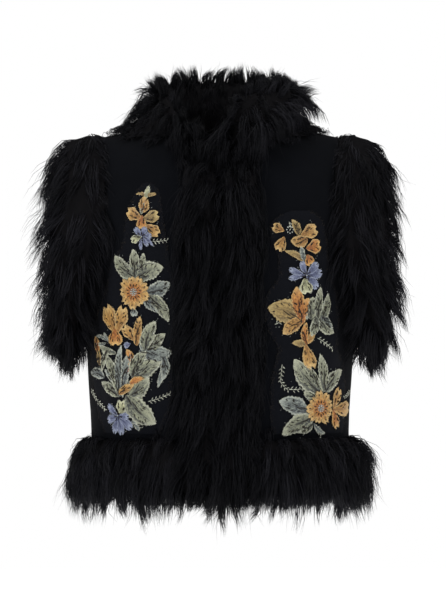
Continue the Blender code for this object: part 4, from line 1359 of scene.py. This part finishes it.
def on_plan(along, height, turn, across, up):
    """A place across and up from another, in a plane turned by some degrees."""
    angle = math.radians(turn)
    far_along = along + across * math.cos(angle) + up * math.sin(angle)
    far_height = height - across * math.sin(angle) + up * math.cos(angle)
    return far_along, far_height


print("10 mm up, turned by 90 degrees:", on_plan(0, 0, 90, 0, 10))

# %% [markdown]
# ## Stitches over stitches
#
# On the real sprays satin stitch is only the first layer. Short dark stitches cross each
# petal, light ones are overcast round its rim, and a few flecks lie on the net beside it.
# Their places are worked out while the petals are made, because they follow each petal's
# form. The threads themselves are laid later, all of one kind in one mesh.

# %% Where the dark stitches go
AREA_FOR_A_STITCH = 56 * MM * MM
dash_rows = {-1: [], 1: []}
knot_places = {-1: [], 1: []}


def dash(hand, middle, turn, half, off):
    ends = [on_plan(*middle, turn, 0, d) for d in (-half, -half * 0.3, half * 0.4, half)]
    dash_rows[hand].append([(*e, off) for e in ends])


def turn_of(base, tip):
    return math.degrees(math.atan2(tip[0] - base[0], tip[1] - base[1]))


def dashes_on(hand, base, tip, width, off, shape, seed):
    """Short dark stitches in rows, to each side of a blade's midrib, and longer ones on a leaf's vein."""
    chance = np.random.default_rng(seed)
    length = math.hypot(tip[0] - base[0], tip[1] - base[1])
    turn = turn_of(base, tip)
    for k in range(int(np.clip(length * width / AREA_FOR_A_STITCH, 0, 9))):
        side = 1 if k % 2 else -1
        across = side * 0.50 + chance.uniform(-0.2, 0.2)
        middle = on_blade(base, tip, width, shape, seed, across, chance.uniform(0.28, 0.84))
        dash(hand, middle, turn + 22 * side, chance.uniform(1.8, 2.8) * MM, off + 1.25 * MM)
    for k in range(3 if shape == "leaf" else 0):
        middle = on_blade(base, tip, width, shape, seed, chance.uniform(-0.2, 0.2), 0.18 + 0.16 * k)
        dash(hand, middle, turn + chance.uniform(-12, 12), 0.12 * length, off + 0.95 * MM)


print("turn of a stitch that points up:", turn_of((0, 0), (0, 1)))

# %% Where the light stitches and the flecks go
fleck_rows = {-1: [], 1: []}
edge_rows = {(hand, shade): [] for hand in (-1, 1) for shade in ("green", "gold", "blue")}
EDGE_SHADES = {"orange": "gold", "tan": "gold", "gold": "gold", "pink": "gold", "blue": "blue"}


def edge_stitches(hand, base, tip, width, off, colour, shape, seed):
    """Light overcast stitches that cross a blade's rim, leaning to its tip."""
    chance = np.random.default_rng(seed + 7)
    length = math.hypot(tip[0] - base[0], tip[1] - base[1])
    turn = turn_of(base, tip)
    rows = edge_rows[hand, EDGE_SHADES.get(colour, "green")]
    spacing = 1.7 * MM if colour == "blue" else 2.6 * MM
    for k in range(int(2 * length / spacing)):
        t = chance.uniform(0.22, 1.0)
        side = 1 if k % 2 else -1
        place = on_blade(base, tip, width, shape, seed, side * 0.93, t)
        lean = turn + side * (70 - 60 * t) + chance.uniform(-25, 25)
        half = chance.uniform(0.9, 1.9) * MM
        rows.append([
            (*on_plan(*place, lean, 0, d * half), off + (0.35 - 0.25 * max(d, 0)) * MM)
            for d in (-1.2, 0.2, 1.2)
        ])
        if chance.random() < (0.30 if colour == "blue" else 0.12):
            beside = on_blade(base, tip, width, shape, seed, side * chance.uniform(1.15, 1.75), t * 1.08)
            fleck_rows[hand].append([
                (*on_plan(*beside, lean, 0, d * half), 1.5 * MM) for d in (-0.6, 0, 0.6)
            ])


print("shades of the rims:", ", ".join(sorted({shade for hand, shade in edge_rows})))


# %% Embroider one motif
def embroider(hand, word, number, name, layer, blades):
    off = GROUND_TOP + MOTIF_LIFT + layer * LAYER_LIFT
    parts = []
    for k, (base_along, base_height, tip_along, tip_height, width, shape, colour) in enumerate(blades):
        base = (base_along * MM, base_height * MM)
        tip = (tip_along * MM, tip_height * MM)
        lift = off + 0.14 * MM * ((k + number) % 5)
        seed = number * 20 + k
        parts.append(blade(hand, base, tip, width * MM, lift, colour, shape, seed))
        edge_stitches(hand, base, tip, width * MM, lift, colour, shape, seed)
        if shape != "frill" and width > 10:
            dashes_on(hand, base, tip, width * MM, lift, shape, seed)
    if any(row[5] == "frill" for row in blades):
        middle = (blades[0][0] * MM, blades[0][1] * MM)
        for k in range(7):
            place = on_plan(*middle, 51 * k, 0, (4.5 + 2 * (k % 2)) * MM)
            dash(hand, place, 51 * k, 2.8 * MM, off + 1.7 * MM)
        knot_places[hand].append((*middle, off + 1.5 * MM))
    return finish_motif(parts, hand, word, name)


def finish_motif(parts, hand, word, name):
    made = thicken(join(parts, f"stitched_{name}_{word}"), 0.7 * MM, hand)
    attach(made, "root")
    if name != "stems":
        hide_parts(f"{name}_{word}")
    return made


# %% Embroider a large bloom
def embroider_bloom(hand, word, along, height, reach, start):
    """Nine notched petals, a deeper inner row, a ring of dark stitches and a beaded centre."""
    off = GROUND_TOP + MOTIF_LIFT + LAYER_LIFT
    middle = (along * MM, height * MM)
    parts = []
    for k in range(9):
        lean = start + 40 * k
        far = reach * MM * (1 + 0.08 * math.sin(2.4 * k + hand))
        base = on_plan(*middle, lean, 0, 2 * MM)
        tip = on_plan(*middle, lean, 0, far)
        lift = off + 0.16 * MM * (k % 3)
        parts.append(blade(hand, base, tip, 14.5 * MM, lift, "gold", "round", 300 + k))
        edge_stitches(hand, base, tip, 14.5 * MM, off + 0.4 * MM, "gold", "round", 300 + k)
        dash(hand, on_plan(*base, lean, 0, 0.72 * far), lean, 1.5 * MM, off + 1.2 * MM)
    for k in range(9):
        lean = start + 20 + 40 * k
        base = on_plan(*middle, lean, 0, 2 * MM)
        tip = on_plan(*middle, lean, 0, reach * 0.70 * MM)
        parts.append(blade(hand, base, tip, 8.5 * MM, off + 0.75 * MM, "orange", "leaf", 320 + k))
    for k in range(14):
        lean = 360 * k / 14
        dash(hand, on_plan(*middle, lean, 0, (9.6 + 1.4 * (k % 2)) * MM), lean, 2.4 * MM, off + 1.9 * MM)
    for count, ring in ((9, 4.6), (5, 2.5), (1, 0.0)):
        for k in range(count):
            knot_places[hand].append((*on_plan(*middle, 360 * k / count, 0, ring * MM), off + 1.5 * MM))
    return finish_motif(parts, hand, word, "orange_bloom")


# %% Embroider both fronts
for hand, word in ((-1, "right"), (1, "left")):
    for number, row in enumerate(MOTIFS[hand]):
        embroider(hand, word, number, *row)
    embroider_bloom(hand, word, *BLOOMS[hand])
    print(word, "front: motifs", len(MOTIFS[hand]) + 1, "dark stitches", len(dash_rows[hand]))
for k in range(8):
    knot_places[1].append((*on_plan(0.103, -0.152, 45 * k, 0, 5.0 * MM), 2.0 * MM))

# %% [markdown]
# ## Net grounds
#
# The motifs were first stitched to a dark net, which was then cut out close round them and
# sewn to the front. A flat grid is pulled between two edges that a table gives, and laid on
# the map, since a net follows the cloth everywhere. Its cut edge frays into short fibres.

# %% The outlines of the net grounds
GROUND_OUTLINE = {
    -1: (
        # height, near the fur, near the side seam: distances along the cloth from the middle
        (-0.084, 0.102, 0.113), (-0.090, 0.094, 0.122), (-0.102, 0.087, 0.131), (-0.127, 0.084, 0.142),
        (-0.153, 0.081, 0.146), (-0.176, 0.076, 0.150), (-0.198, 0.074, 0.174),
        (-0.222, 0.068, 0.176), (-0.250, 0.062, 0.188), (-0.276, 0.061, 0.204),
        (-0.304, 0.068, 0.222), (-0.334, 0.067, 0.226), (-0.369, 0.070, 0.222),
        (-0.398, 0.070, 0.214), (-0.427, 0.078, 0.202), (-0.448, 0.089, 0.186),
    ),
    1: (
        (-0.124, 0.106, 0.136), (-0.131, 0.088, 0.151), (-0.142, 0.074, 0.160), (-0.167, 0.073, 0.168),
        (-0.192, 0.086, 0.170), (-0.222, 0.086, 0.174), (-0.244, 0.068, 0.188),
        (-0.275, 0.064, 0.192), (-0.300, 0.072, 0.190), (-0.324, 0.086, 0.188),
        (-0.346, 0.080, 0.206), (-0.377, 0.074, 0.212), (-0.406, 0.074, 0.218),
        (-0.432, 0.073, 0.216), (-0.448, 0.079, 0.206),
    ),
}
print("heights in each outline:", len(GROUND_OUTLINE[-1]), len(GROUND_OUTLINE[1]))

# %% The net's finish
net_finish, tree, shader = new_finish("dark_net", roughness=0.85, specular=0.06, sheen=0.03)
tone = add_tone(tree, 160, (0.0012, 0.0015, 0.0026), (0.0040, 0.0046, 0.0072))
tree.links.new(tone.outputs["Color"], shader.inputs["Base Color"])
mesh_place = tree.nodes.new("ShaderNodeTexCoord")
mesh_cells = node(tree, "ShaderNodeTexVoronoi", feature="DISTANCE_TO_EDGE", Scale=420.0)
tree.links.new(mesh_place.outputs["Object"], mesh_cells.inputs["Vector"])
bump = node(tree, "ShaderNodeBump", Strength=0.7, Distance=0.0005, invert=True)
tree.links.new(mesh_cells.outputs["Distance"], bump.inputs["Height"])
tree.links.new(bump.outputs["Normal"], shader.inputs["Normal"])
print("finish:", net_finish.name)

# %% Cut the nets out and lay them on
FRAYED_FIBRES = 800
fuzz_rows = {-1: [], 1: []}


def edge_at(table, height, column):
    heights = [row[0] for row in table][::-1]
    return np.interp(height, heights, [row[column] for row in table][::-1])


def make_ground(hand, word):
    table = GROUND_OUTLINE[hand]
    top, foot = table[0][0], table[-1][0]
    deselect()
    bpy.ops.mesh.primitive_grid_add(x_subdivisions=26, y_subdivisions=96, size=1)
    made = bpy.context.object
    made.name = f"net_ground_{word}"
    made.data.name = made.name
    flat = vertex_array(made)
    height = foot + (top - foot) * (flat[:, 1] + 0.5)
    near, far = edge_at(table, height, 1), edge_at(table, height, 2)
    ragged = 1.1 * MM * np.sin(height * 900 + hand) + 0.8 * MM * np.sin(height * 2300)
    near, far = near + ragged, far - ragged * 0.8
    along = near + (far - near) * (flat[:, 0] + 0.5)
    set_vertices(made, lay_on(hand, along, height, np.full(len(along), 0.75 * MM)))
    made.data.materials.append(net_finish)
    thicken(made, 0.3 * MM, hand)
    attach(made, "root")
    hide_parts(f"applique_ground_{word}")
    for k in range(FRAYED_FIBRES):
        at = foot + (top - foot) * chance_maker.random()
        column = 1 + k % 2
        away = -1 if column == 1 else 1
        place = edge_at(table, at, column) - away * chance_maker.uniform(-1, 5) * MM
        angle = chance_maker.uniform(0, 2 * math.pi)
        reach = chance_maker.uniform(1.5, 4.0) * MM
        fuzz_rows[hand].append([
            (
                place + reach * s * math.cos(angle + 0.8 * s),
                at + reach * s * math.sin(angle + 0.8 * s),
                (0.8 + 1.0 * s) * MM,
            )
            for s in (0, 0.5, 1.0)
        ])
    return made


for hand, word in ((-1, "right"), (1, "left")):
    made = make_ground(hand, word)
    print(made.name, "faces:", len(made.data.polygons))

# %% [markdown]
# ## Fine stitches
#
# A single stitch is a short thread with both ends in the cloth. There are thousands, so they
# are made by the same arrays as the hair: each row of places becomes one tapering spike that
# stands a little off the petal or the net below it.

# %% One mesh of short threads
def lay_threads(name, hand, rows, radius, finish):
    """One mesh of short closed threads, each along its own row of three or four places."""
    rows = np.array(rows)
    flat = rows.reshape(-1, 3)
    path = lay_on(hand, flat[:, 0], flat[:, 1], flat[:, 2]).reshape(rows.shape)
    taper = np.array([0.7, 1.0, 0.8, 0.0] if rows.shape[1] == 4 else [0.9, 0.9, 0.0])[None]
    thickness = radius * chance_maker.uniform(0.8, 1.25, len(rows))[:, None] * taper
    made = spike_mesh(name, path, thickness, chance_maker.random(len(rows)))
    made.data.materials.append(finish)
    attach(made, "root")
    print(name, "threads:", len(rows))


# %% Lay the stitches on the fronts
DARK_RADIUS = 0.76 * MM
FRAY_RADIUS = 0.18 * MM
FLECK_RADIUS = 0.38 * MM
EDGE_RADIUS = 0.40 * MM

for hand, word in ((-1, "right"), (1, "left")):
    lay_threads(f"dark_stitches_{word}", hand, dash_rows[hand], DARK_RADIUS, dark_thread)
    lay_threads(f"net_fray_{word}", hand, fuzz_rows[hand], FRAY_RADIUS, dark_thread)
    lay_threads(f"flecks_{word}", hand, fleck_rows[hand], FLECK_RADIUS, silver_thread)
    for shade, slot in (("green", "thread_green"), ("gold", "thread_ochre"), ("blue", "thread_blue")):
        rows = edge_rows[hand, shade]
        name = f"edge_stitches_{shade}_{word}"
        lay_threads(name, hand, rows, EDGE_RADIUS, pale_threads[shade])

# %% [markdown]
# ## Knots
#
# The hearts of the flowers are raised dots: knots of thread wound round the needle, or beads
# sewn on singly. At this size both are small round grains, so each is a small ico sphere
# set on the petal, and a front's grains are joined into one piece.

# %% Knots in the flowers
KNOT_RADIUS = 1.0 * MM

for hand, word in ((-1, "right"), (1, "left")):
    places = np.array(knot_places[hand])
    points = lay_on(hand, places[:, 0], places[:, 1], places[:, 2])
    beads = []
    for point in points:
        deselect()
        bpy.ops.mesh.primitive_ico_sphere_add(subdivisions=2, radius=KNOT_RADIUS, location=point)
        bpy.ops.object.transform_apply(location=True, rotation=True, scale=True)
        beads.append(bpy.context.object)
        beads[-1].data.materials.append(silver_thread)
    knots = join(beads, f"knots_{word}")
    bpy.ops.object.shade_smooth()
    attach(knots, "root")
    print(knots.name, "grains:", len(beads))

# %% [markdown]
# ## Pale sprigs
#
# Between the motifs run fine twigs of a single pale thread, with a leaf stitch to each side
# at every step. They are walked one stitch at a time, as they are sewn, so that a twig bends
# and its leaves grow shorter to its tip.

# %% Where the sprigs run
SPRIGS = {
    # from along and height to along and height in millimetres, bend in degrees
    -1: (
        (106, -401, 72, -388, 14),
        (205, -401, 184, -416, -20),
        (104, -169, 76, -167, 10),
        (224, -384, 205, -401, -10),
        (134, -432, 117, -440, 0),
    ),
    1: (
        (91, -347, 88, -371, 8),
        (88, -371, 102, -383, -30),
        (102, -383, 122, -381, -20),
        (234, -386, 208, -396, 10),
        (148, -309, 176, -326, 14),
        (80, -289, 93, -283, 0),
        (147, -436, 156, -453, 10),
        (102, -141, 105, -150, 0),
    ),
}
print("sprigs:", len(SPRIGS[-1]) + len(SPRIGS[1]))

# %% Sew the sprigs
SPRIG_RADIUS = 0.68 * MM


def sprig_rows(along, height, far_along, far_height, bend):
    """A stem in short stitches with a leaf stitch to each side at every step."""
    rows = []
    at = (along * MM, height * MM)
    length = math.hypot(far_along - along, far_height - height) * MM
    turn = math.degrees(math.atan2(far_along - along, far_height - height))
    steps = max(2, round(length / (6.0 * MM)))
    for k in range(steps):
        lean = turn + bend * (k / steps - 0.5)
        ahead = on_plan(*at, lean, 0, length / steps)
        rows.append([
            (*(a + (b - a) * s for a, b in zip(at, ahead)), 1.5 * MM) for s in (0, 0.35, 0.7, 1.08)
        ])
        for side in (-1, 1):
            reach = 5.8 * MM * (1 - 0.35 * k / steps)
            start = on_plan(*at, lean, 0, (0.55 + 0.25 * side) * length / steps)
            rows.append([
                (*on_plan(*start, lean + side * 48, 0, reach * s), (1.6 + 0.3 * s) * MM)
                for s in (0.3, 0.55, 0.85, 1.1)
            ])
        at = ahead
    return rows


for hand, word in ((-1, "right"), (1, "left")):
    rows = [row for sprig in SPRIGS[hand] for row in sprig_rows(*sprig)]
    lay_threads(f"sprigs_{word}", hand, rows, SPRIG_RADIUS, pale_threads["green"])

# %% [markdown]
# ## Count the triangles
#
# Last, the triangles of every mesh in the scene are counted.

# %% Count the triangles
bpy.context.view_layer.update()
meshes = [made.data for made in bpy.data.objects if made.type == "MESH"]
print("triangles:", sum(len(face.vertices) - 2 for mesh in meshes for face in mesh.polygons))
